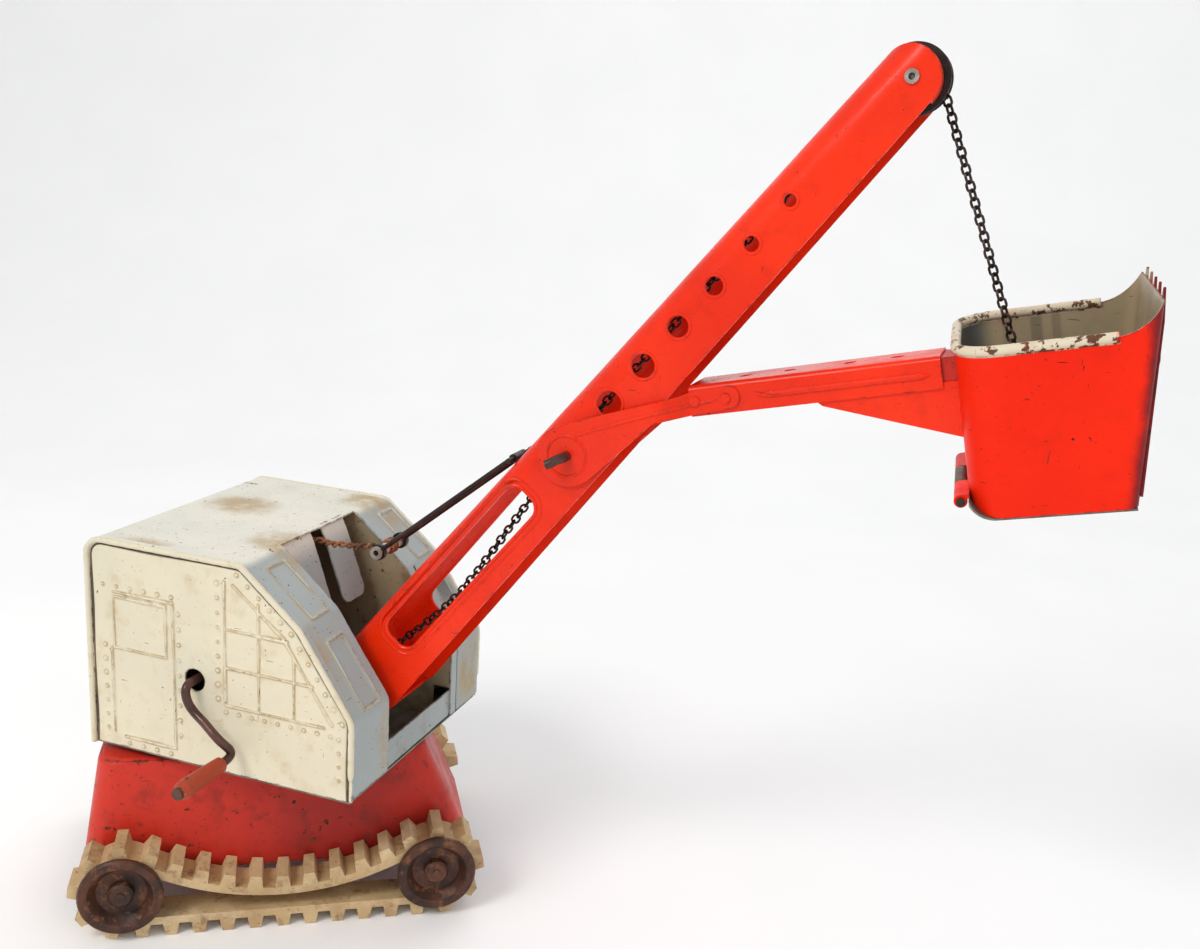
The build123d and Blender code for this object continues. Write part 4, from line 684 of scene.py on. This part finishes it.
def path_distance(s, t, path):
    """Distance to a path and the side of it: positive outside the house."""
    shape = np.shape(s)
    points = np.stack([np.ravel(s), np.ravel(t)], axis=1)
    best = np.full(len(points), 1e9)
    for (ax, ay), (bx, by) in zip(path[:-1], path[1:]):
        dx, dy = bx - ax, by - ay
        length_2 = dx * dx + dy * dy
        if length_2 == 0:
            continue
        along = np.clip(((points[:, 0] - ax) * dx + (points[:, 1] - ay) * dy) / length_2, 0, 1)
        away = np.hypot(points[:, 0] - ax - along * dx, points[:, 1] - ay - along * dy)
        best = np.where(away < np.abs(best), np.where(
            dx * (points[:, 1] - ay) - dy * (points[:, 0] - ax) > 0, away, -away), best)
    return best.reshape(shape)


def house_outline_distance(x, z):
    """Negative inside the side view of the house."""
    coarse = house_path[::4]
    coarse = np.vstack([coarse, house_path[-1:]])
    return np.maximum(path_distance(x, z, coarse), HOUSE_LOW - z)


def slanted(x_offset):
    """Line that runs a little inside the two front slopes."""
    return [(ROOF_FRONT - x_offset * 0.4, ROOF_Z - x_offset),
            (SLOPE_BREAK[0] - x_offset * 0.8, SLOPE_BREAK[1] - x_offset * 0.55),
            (HOUSE_FRONT - x_offset, FRONT_TOP - x_offset * 0.3)]


def panel_relief(x, z):
    """Door, windows and rivet rows pressed into a side of the house."""
    inner = slanted(WINDOW_INSET)
    outer = slanted(RIVET_INSET)
    total = np.zeros(np.shape(x))
    for start, end in (*DOOR_LINES, *WINDOW_LINES, inner[:2], inner[1:]):
        total = np.maximum(total, line_ridge(x, z, start, end))
    for start, end in (*RIVET_ROWS, outer[:2], outer[1:]):
        total = np.maximum(total, dome_row(x, z, start, end, RIVET_SPACING))
    groove = path_distance(x, z, house_path[::6])
    total = total - ridge(groove + 2.9, 0.55, 0.70)
    dents = np.sin(x * 0.11 + 1.0) * np.sin(z * 0.13 + 0.4) * 0.14
    return total + dents - 0.06


def build_side_panel(name, side, hole):
    """Embossed side with the crank's hole and a rolled bead."""
    def distance(x, z):
        inside = house_outline_distance(x, z) + 0.9
        return np.maximum(np.maximum(inside, HOUSE_LOW - z), -disc(x, z, *hole, CRANK_HOLE_R))

    def place(x, z, h):
        return np.stack([x, side * (HOUSE_HALF + h - 0.35), z], axis=1)

    vertices, faces, relief = sheet(distance, (HOUSE_REAR, HOUSE_FRONT, HOUSE_LOW, ROOF_Z), 0.5,
                                    place, panel_relief)
    if side > 0:
        faces = [face[::-1] for face in faces]
    shape = Shape().add(vertices, faces, relief)
    middle = rounded_path([(HOUSE_REAR + BEAD_R, HOUSE_LOW), (HOUSE_REAR + BEAD_R, ROOF_Z - BEAD_R),
                           (ROOF_FRONT - 0.3, ROOF_Z - BEAD_R),
                           (SLOPE_BREAK[0] - 0.7, SLOPE_BREAK[1] - 0.9),
                           (HOUSE_FRONT - BEAD_R, FRONT_TOP - 0.3),
                           (HOUSE_FRONT - BEAD_R, BEAD_END_Z)], [r - 1 for r in CORNER_RADII], 0.8)
    wobble = 1.0 + 0.05 * np.sin(np.arange(len(middle)) * 0.9) * np.sin(np.arange(len(middle)) * 0.23)
    bead = np.stack([middle[:, 0], np.full(len(middle), side * (HOUSE_HALF - 0.15)), middle[:, 1]],
                    axis=1)
    taper = wobble.copy()
    taper[-3:] *= (0.92, 0.75, 0.45)
    shape.add(*tube(bead, BEAD_R, 12, taper=taper))
    return shape.piece(name + "_pressed", "house_paint", "house", (name,), 40.0)


build_side_panel("side_panel_right", -1, HOIST_HOLE)
build_side_panel("side_panel_left", 1, LUFF_HOLE)

WRAP_CORNERS = [(HOUSE_REAR + WRAP_INSET, HOUSE_LOW), (HOUSE_REAR + WRAP_INSET, ROOF_Z - WRAP_INSET),
                (ROOF_FRONT - 0.1, ROOF_Z - WRAP_INSET), (SLOPE_BREAK[0] - 0.25, SLOPE_BREAK[1] - 0.27),
                (HOUSE_FRONT - WRAP_INSET, FRONT_TOP - 0.1), (HOUSE_FRONT - WRAP_INSET, WRAP_FRONT_LOW)]
wrap_path = rounded_path(WRAP_CORNERS, CORNER_RADII, 0.4)
wrap_lengths = np.concatenate([[0], np.cumsum(np.linalg.norm(np.diff(wrap_path, axis=0), axis=1))])
wrap_normals = np.gradient(wrap_path, axis=0)
wrap_normals = np.stack([-wrap_normals[:, 1], wrap_normals[:, 0]], axis=1)
wrap_normals /= np.linalg.norm(wrap_normals, axis=1)[:, None]


def wrap_place(s, y, h):
    """Point on the roof sheet: s runs from the rear's foot over the roof to the front."""
    x = np.interp(s, wrap_lengths, wrap_path[:, 0]) + h * np.interp(s, wrap_lengths, wrap_normals[:, 0])
    z = np.interp(s, wrap_lengths, wrap_path[:, 1]) + h * np.interp(s, wrap_lengths, wrap_normals[:, 1])
    return np.stack([x, y, z], axis=1)


def wrap_length_at(x):
    """Length along the roof sheet where it first gets as far forward as x."""
    return wrap_lengths[np.argmax(wrap_path[:, 0] >= x)]


roof_front_s = wrap_length_at(ROOF_FRONT)
break_s = wrap_length_at(SLOPE_BREAK[0])
recess_s = wrap_length_at(RECESS_X)
wrap_end_s = wrap_lengths[-1]
slot_s = [wrap_length_at(x) for x in ROOF_SLOT[:2]]
COLUMN_WINDOWS = ((roof_front_s + 5.5, roof_front_s + 31.5), (break_s + 8.5, break_s + 38.0))


def wrap_distance(s, y):
    body = rectangle(s, y, 0.0, wrap_end_s, -HOUSE_HALF + 0.75, HOUSE_HALF - 0.75)
    recess = rectangle(s, y, recess_s, wrap_end_s + 50, *RECESS_Y)
    slot = rectangle(s, y, slot_s[0], slot_s[1], ROOF_SLOT[2], ROOF_SLOT[3])
    return np.maximum(body, np.maximum(-recess, -slot))


def wrap_relief(s, y):
    """Window frames pressed into the front columns, and the roof's slight unevenness."""
    total = np.zeros(np.shape(s))
    for s_low, s_high in COLUMN_WINDOWS:
        for y_low, y_high in COLUMN_WINDOW_WIDTHS:
            border = rectangle(s, y, s_low, s_high, y_low, y_high, 0.6)
            total = np.maximum(total, ridge(border, 0.6, 0.70))
            total = total - 0.16 * (border < -0.5)
    dents = np.sin(s * 0.07) * np.sin(y * 0.09 + 0.6) * 0.22
    far_groove = ridge(y - 33.0, 0.6, 0.60) * (s > break_s)
    return total + dents * (np.abs(y) < 52) - far_groove


def build_roof_wrap():
    shape = Shape()
    bounds = (0.0, wrap_end_s, -HOUSE_HALF + 0.75, HOUSE_HALF - 0.75)
    vertices, faces, heights = sheet(wrap_distance, bounds, 0.6, wrap_place, wrap_relief)
    shape.add(vertices, [face[::-1] for face in faces], heights)
    lean = math.radians(TONGUE_LEAN)
    for y_low, y_high, length in TONGUES:
        def distance(y, down, y_low=y_low, y_high=y_high, length=length):
            strip = rectangle(y, down, y_low, y_high, -8.0, length, 4.0)
            return np.maximum(strip, -down)

        def place(y, down, h):
            curl = 1.2 * np.exp(-down / 2.5)
            x = RECESS_X - 0.5 - curl + down * math.sin(lean) + h * math.cos(lean)
            z = ROOF_Z - 0.5 - down * math.cos(lean) + h * math.sin(lean)
            return np.stack([x, y, z], axis=1)

        def relief(y, down):
            return 0.25 * np.sin(y * 0.35) * np.clip(down / 30.0, 0, 1)

        vertices, faces, _ = sheet(distance, (y_low, y_high, 0.0, length), 0.6, place, relief)
        shape.add(vertices, [face[::-1] for face in faces])
    return shape.piece("roof_wrap_pressed", "house_paint", "house", ("roof_wrap",), 40.0, "house_roof")


build_roof_wrap()


# ==============================
# pressed rims and ribs on the boom and arm
# ==============================
def boom_half_width(x):
    stations = np.array(BOOM_STATIONS)
    return np.interp(x, stations[:, 0], stations[:, 1])


def closed_tube(points, radius, sides=10):
    """Round tube along a closed loop."""
    points = np.asarray(points, float)
    along = np.roll(points, -1, axis=0) - np.roll(points, 1, axis=0)
    vertices = points[:, None, :] + rings_across(along, (0.0, 1.0, 0.0), sides) * radius
    count = len(points)
    faces = [(i * sides + k, i * sides + (k + 1) % sides,
              (i + 1) % count * sides + (k + 1) % sides, (i + 1) % count * sides + k)
             for i in range(count) for k in range(sides)]
    return vertices.reshape(-1, 3), faces


def rounded_loop(x_low, x_high, z_low, z_high, corner):
    """Closed loop of (x, z) points round a rectangle with rounded corners."""
    loop = []
    for cx, cz, start in ((x_high - corner, z_high - corner, 0), (x_low + corner, z_high - corner, 90),
                          (x_low + corner, z_low + corner, 180), (x_high - corner, z_low + corner, 270)):
        for k in range(9):
            angle = math.radians(start + k * 90 / 8)
            loop.append((cx + corner * math.cos(angle), cz + corner * math.sin(angle)))
    loop = np.array(loop + [loop[0]])
    return resampled(loop, 1.0)[:-1]


def build_boom_rims():
    """Pressed lips round the boom's slot and holes, half sunk in its two sides."""
    shape = Shape()
    x_low, x_high, z_low, z_high = BOOM_SLOT
    loops = [(rounded_loop(x_low - g, x_high + g, z_low - g, z_high + g, BOOM_SLOT_CORNER + g), r)
             for g, r in SLOT_LIPS]
    for i, hole_r in enumerate(BOOM_HOLES):
        angles = np.linspace(0, 2 * math.pi, 36, endpoint=False)
        centre_x = FIRST_HOLE[0] + i * HOLE_SPACING
        centre_z = FIRST_HOLE[1] + HOLE_SLOPE * i * HOLE_SPACING
        ring = np.stack([centre_x + (hole_r + HOLE_LIP_OFFSET) * np.cos(angles),
                         centre_z + (hole_r + HOLE_LIP_OFFSET) * np.sin(angles)], axis=1)
        loops.append((ring, HOLE_LIP_R))
    for side in (-1, 1):
        for loop, radius in loops:
            y = side * (boom_half_width(loop[:, 0]) - 0.15)
            points = boom_points(np.stack([loop[:, 0], y, loop[:, 1]], axis=1))
            shape.add(*closed_tube(points, radius))
    return shape.piece("boom_pressed_rims", "boom_paint", "boom")


def yoke_outer_y(x):
    """Outside face of the yoke plate, which steps in over its joggle."""
    start, end = YOKE_JOGGLE
    return np.interp(x, (start, end), (YOKE_OUTER, ARM_HALF + 0.8))


def build_arm_ribs():
    """Long rib along each side of the arm, and the raised line and round of each yoke plate."""
    shape = Shape()
    for side in (-1, 1):
        rib_x = np.linspace(*ARM_RIB_X, 60)
        swell = np.clip(np.minimum(rib_x - ARM_RIB_X[0], ARM_RIB_X[1] - rib_x) / 3.0, 0.15, 1.0)
        rib = np.stack([rib_x, np.full(60, side * (ARM_HALF - 0.10)), np.full(60, ARM_RIB_Z)], axis=1)
        shape.add(*tube(arm_points(rib), ARM_RIB_R, 10, taper=swell))
        low, high = YOKE_LINE_X[0], YOKE_LINE_X[-1]
        line_x = np.linspace(low, high, 70)
        line_z = np.interp(line_x, YOKE_LINE_X, YOKE_LINE_Z)
        line = np.stack([line_x, side * (yoke_outer_y(line_x) - 0.20), line_z], axis=1)
        fade = np.clip(np.minimum(line_x - low, high - line_x) / 4.0, 0.15, 1.0)
        shape.add(*tube(arm_points(line), YOKE_LINE_R, 10, taper=fade))
        angles = np.linspace(0, 2 * math.pi, 44, endpoint=False)
        pivot_round = np.stack([PIVOT_ROUND_R * np.cos(angles),
                                np.full(44, side * (YOKE_OUTER - 0.20)),
                                PIVOT_ROUND_R * np.sin(angles)], axis=1)
        shape.add(*closed_tube(arm_points(pivot_round), PIVOT_ROUND_WIRE_R))
    return shape.piece("arm_pressed_ribs", "boom_paint", "arm")


build_boom_rims()
build_arm_ribs()


# ==============================
# chain and cord
# ==============================
def add_links(shape, points, wire_r=LINK_WIRE_R, first_turn=0, sway=0.0):
    """Round-wire links along a path, each a quarter turn from the last."""
    points = np.asarray(points, float)
    lengths = np.concatenate([[0], np.cumsum(np.linalg.norm(np.diff(points, axis=0), axis=1))])
    count = int(round(lengths[-1] / LINK_PITCH))
    bend_r = LINK_WIDTH / 2 - LINK_WIRE_R
    half_straight = LINK_HALF_STRAIGHT
    outline = []
    for k in range(20):
        angle = 2 * math.pi * k / 20
        shift = half_straight if math.cos(angle) > 0 else -half_straight
        outline.append((bend_r * math.cos(angle) + shift, bend_r * math.sin(angle)))
    outline = np.array(outline)
    normals = np.roll(outline, -1, axis=0) - np.roll(outline, 1, axis=0)
    normals = np.stack([normals[:, 1], -normals[:, 0]], axis=1)
    normals /= np.linalg.norm(normals, axis=1)[:, None]
    sides = 8
    for link in range(count):
        at = (link + 0.5) * lengths[-1] / count
        middle = np.array([np.interp(at, lengths, points[:, k]) for k in range(3)])
        ahead = np.array([np.interp(at + 0.6, lengths, points[:, k]) for k in range(3)])
        behind = np.array([np.interp(at - 0.6, lengths, points[:, k]) for k in range(3)])
        along = (ahead - behind) / np.linalg.norm(ahead - behind)
        square = np.cross(along, (0.0, 1.0, 0.0))
        square /= np.linalg.norm(square)
        turn = (link + first_turn) % 2 * math.pi / 2 + math.radians(28) + sway * math.sin(link * 1.7)
        across = math.cos(turn) * np.array((0.0, 1.0, 0.0)) + math.sin(turn) * square
        face = np.cross(along, across)
        vertices, faces = [], []
        for (u, v), (nu, nv) in zip(outline, normals):
            centre = middle + along * u + across * v
            outward = along * nu + across * nv
            for k in range(sides):
                angle = 2 * math.pi * k / sides
                vertices.append(centre + wire_r * (math.cos(angle) * outward + math.sin(angle) * face))
        ring = len(outline)
        for i in range(ring):
            for k in range(sides):
                a, b = i * sides + k, i * sides + (k + 1) % sides
                c, d = (i + 1) % ring * sides + (k + 1) % sides, (i + 1) % ring * sides + k
                faces.append((a, d, c, b))
        shape.add(vertices, faces)


def smooth_curve(points, step=1.0):
    """Smooth curve through the points (Catmull-Rom)."""
    points = np.asarray(points, float)
    padded = np.vstack([2 * points[0] - points[1], points, 2 * points[-1] - points[-2]])
    dense = []
    for a, b, c, d in zip(padded, padded[1:], padded[2:], padded[3:]):
        for t in np.linspace(0, 1, 24, endpoint=False):
            dense.append(0.5 * (2 * b + (c - a) * t + (2 * a - 5 * b + 4 * c - d) * t ** 2
                                + (3 * b - a - 3 * c + d) * t ** 3))
    dense.append(points[-1])
    return resampled(np.array(dense), step)


sheave_centre = pivot_mm("tip_sheave_turn")
rod_centre = sum(box_mm("chain_rod")) / 2
CHAIN_TURN_R = 7.4


def hanging_line():
    """Where the chain leaves the sheave, and its direction and length down to the rod."""
    run = rod_centre - sheave_centre
    away = math.hypot(run[0], run[2])
    radial = math.atan2(run[2], run[0]) + math.acos(CHAIN_TURN_R / away)
    start = sheave_centre + CHAIN_TURN_R * np.array((math.cos(radial), 0.0, math.sin(radial)))
    reach = rod_centre - start
    return start, reach / np.linalg.norm(reach), float(np.linalg.norm(reach))


def build_chains():
    start, down, length = hanging_line()
    upper = Shape()
    whole = LINK_PITCH * round((length + CHAIN_TAIL) / LINK_PITCH)
    add_links(upper, [start, start + down * whole])
    upper.piece("chain_upper_links", "chain_steel", "chain_fall", ("chain_upper_run",))
    lower = Shape()
    skipped = LINK_PITCH * 2 * round(CHAIN_HEAD_GAP / LINK_PITCH / 2)
    add_links(lower, [start + down * skipped, start + down * (LINK_PITCH * round(length / LINK_PITCH))],
              LINK_WIRE_R * 0.96)
    lower.piece("chain_lower_links", "chain_steel", "chain_end", ("chain_lower_run",))
    inside = Shape()
    tip = boom_points([(301.5, 0, 2.2)])[0]
    path = smooth_curve(boom_points([(5, 0, 4.9), (44, 0, 0.0), (94, 0, 3.6), (128.5, 0, 6.8),
                                     (190, 0, 7.6), (293, 0, 9.6)]), 1.0)
    arc = []
    for k in range(12):
        angle = BOOM_ANGLE + math.radians(95 - 14.5 * k)
        arc.append(tip + CHAIN_TURN_R * np.array((math.cos(angle), 0, math.sin(angle))))
    add_links(inside, resampled(np.vstack([path, arc]), 1.0), sway=0.25)
    inside.piece("boom_chain_links", "chain_steel", "boom", ("boom_chain",))
    house = Shape()
    hoist = pivot_mm("hoist_crank_turn")
    add_links(house, [hoist + (0, 0, 7.0), BOOM_PIVOT + (-2.5, 0, 4.6)], sway=0.2)
    house.piece("house_chain_links", "chain_steel", "house", ("house_chain",))


build_chains()


def build_cord():
    """Two strands twisted together, from the cross tube back into the house."""
    low = box_mm("luff_cord")[0]
    head = sum(box_mm("stay_cross_tube")) / 2
    foot = np.array((low[0], 0.0, low[2] + 1.2))
    reach = np.linalg.norm(foot - head)
    shape = Shape()
    for phase in (0.0, math.pi):
        count = int(reach / 0.5)
        t = np.linspace(0, 1, count)
        centre = head[None, :] + (foot - head)[None, :] * t[:, None]
        sag = -1.6 * np.sin(np.clip(t * reach / 40.0, 0, 1) * math.pi)
        turn = 2 * math.pi * t * reach / CORD_TWIST_LENGTH + phase
        loose = CORD_TWIST_R * (1 + 0.35 * np.sin(t * 31.0 + phase))
        square = np.cross((foot - head) / reach, (0.0, 1.0, 0.0))
        points = centre + (np.cos(turn) * loose)[:, None] * np.array((0.0, 1.0, 0.0))
        points += (np.sin(turn) * loose + sag)[:, None] * square * (1 if square[2] > 0 else -1)
        shape.add(*tube(points, CORD_STRAND_R, 8, across=(0.05, 0.3, 0.95)))
    for y in (-1.6, 0.0, 1.6):
        angles = np.linspace(0, 2 * math.pi, 40)
        loop = np.stack([head[0] + 2.6 * np.cos(angles), y + 0.8 * np.sin(angles * 0.5),
                         head[2] + 2.6 * np.sin(angles)], axis=1)
        shape.add(*tube(loop, CORD_STRAND_R, 8, across=(0.0, 1.0, 0.0)))
    shape.piece("luff_cord_twisted", "rusty_cord", "stay", ("luff_cord",))


build_cord()


# ==============================
# stage
# ==============================
def build_stage():
    """Pale floor that curves up into a backdrop."""
    path = rounded_path([(-1.6, 0.0), (1.6, 0.0), (1.6, 2.2)], [0.9], 0.05)
    turn = Matrix.Rotation(math.radians(CAMERA_AZIMUTH), 4, "Z")
    vertices, faces = [], []
    for i, (away, z) in enumerate(path):
        for side in (-3.5, 3.5):
            vertices.append(turn @ Vector((side, away, z - 0.0002)))
        if i:
            faces.append((2 * i - 2, 2 * i - 1, 2 * i + 1, 2 * i))
    mesh = bpy.data.meshes.new("floor")
    mesh.from_pydata(vertices, [], faces)
    mesh.shade_smooth()
    g = Graph("floor")
    weave = g.noise(9.0, 4.0, offset=4.0)
    colour = g.mix(g.step(weave, 0.3, 0.7), (0.97, 0.97, 0.965), (0.95, 0.95, 0.95))
    mesh.materials.append(g.finish(colour, 0.9))
    floor = bpy.data.objects.new("floor", mesh)
    bpy.context.scene.collection.objects.link(floor)


def add_light(name, at, aim, size, power, colour=(1.0, 1.0, 1.0)):
    light = bpy.data.lights.new(name, "AREA")
    light.size = size
    light.energy = power
    light.color = colour
    holder = bpy.data.objects.new(name, light)
    holder.location = Vector(at) + AXIS_SHIFT
    holder.rotation_mode = "QUATERNION"
    holder.rotation_quaternion = (Vector(aim) - Vector(at)).to_track_quat("-Z", "Y")
    bpy.context.scene.collection.objects.link(holder)


def build_lights():
    add_light("key", (-0.35, -1.0, 1.15), (0.05, 0.0, 0.12), 0.55, 10.5, (1.0, 0.975, 0.94))
    add_light("fill", (1.3, -0.9, 0.8), (0.1, 0.0, 0.15), 1.4, 3.6, (0.94, 0.97, 1.0))
    add_light("back", (0.1, 1.3, 1.5), (0.1, 0.0, 0.1), 1.4, 7.5)
    world = bpy.data.worlds.new("studio")
    bpy.context.scene.world = world
    world.use_nodes = True
    background = world.node_tree.nodes["Background"]
    background.inputs["Color"].default_value = (0.97, 0.98, 1.0, 1.0)
    background.inputs["Strength"].default_value = 0.62


def build_camera():
    azimuth, elevation, roll = (math.radians(angle) for angle in
                                (CAMERA_AZIMUTH, CAMERA_ELEVATION, CAMERA_ROLL))
    back = Vector((math.sin(azimuth) * math.cos(elevation),
                   -math.cos(azimuth) * math.cos(elevation), math.sin(elevation)))
    level_right = Vector((math.cos(azimuth), math.sin(azimuth), 0.0))
    level_up = back.cross(level_right)
    right = math.cos(roll) * level_right + math.sin(roll) * level_up
    up = -math.sin(roll) * level_right + math.cos(roll) * level_up
    data = bpy.data.cameras.new("camera")
    data.lens = CAMERA_LENS
    data.sensor_width = 36.0
    data.clip_start = 0.01
    camera = bpy.data.objects.new("camera", data)
    camera.matrix_world = Matrix((
        (right.x, up.x, back.x, CAMERA_AT[0] + AXIS_SHIFT.x), (right.y, up.y, back.y, CAMERA_AT[1]),
        (right.z, up.z, back.z, CAMERA_AT[2]), (0, 0, 0, 1)))
    bpy.context.scene.collection.objects.link(camera)
    bpy.context.scene.camera = camera


build_stage()
build_lights()
build_camera()
bpy.context.scene.view_settings.view_transform = "Standard"
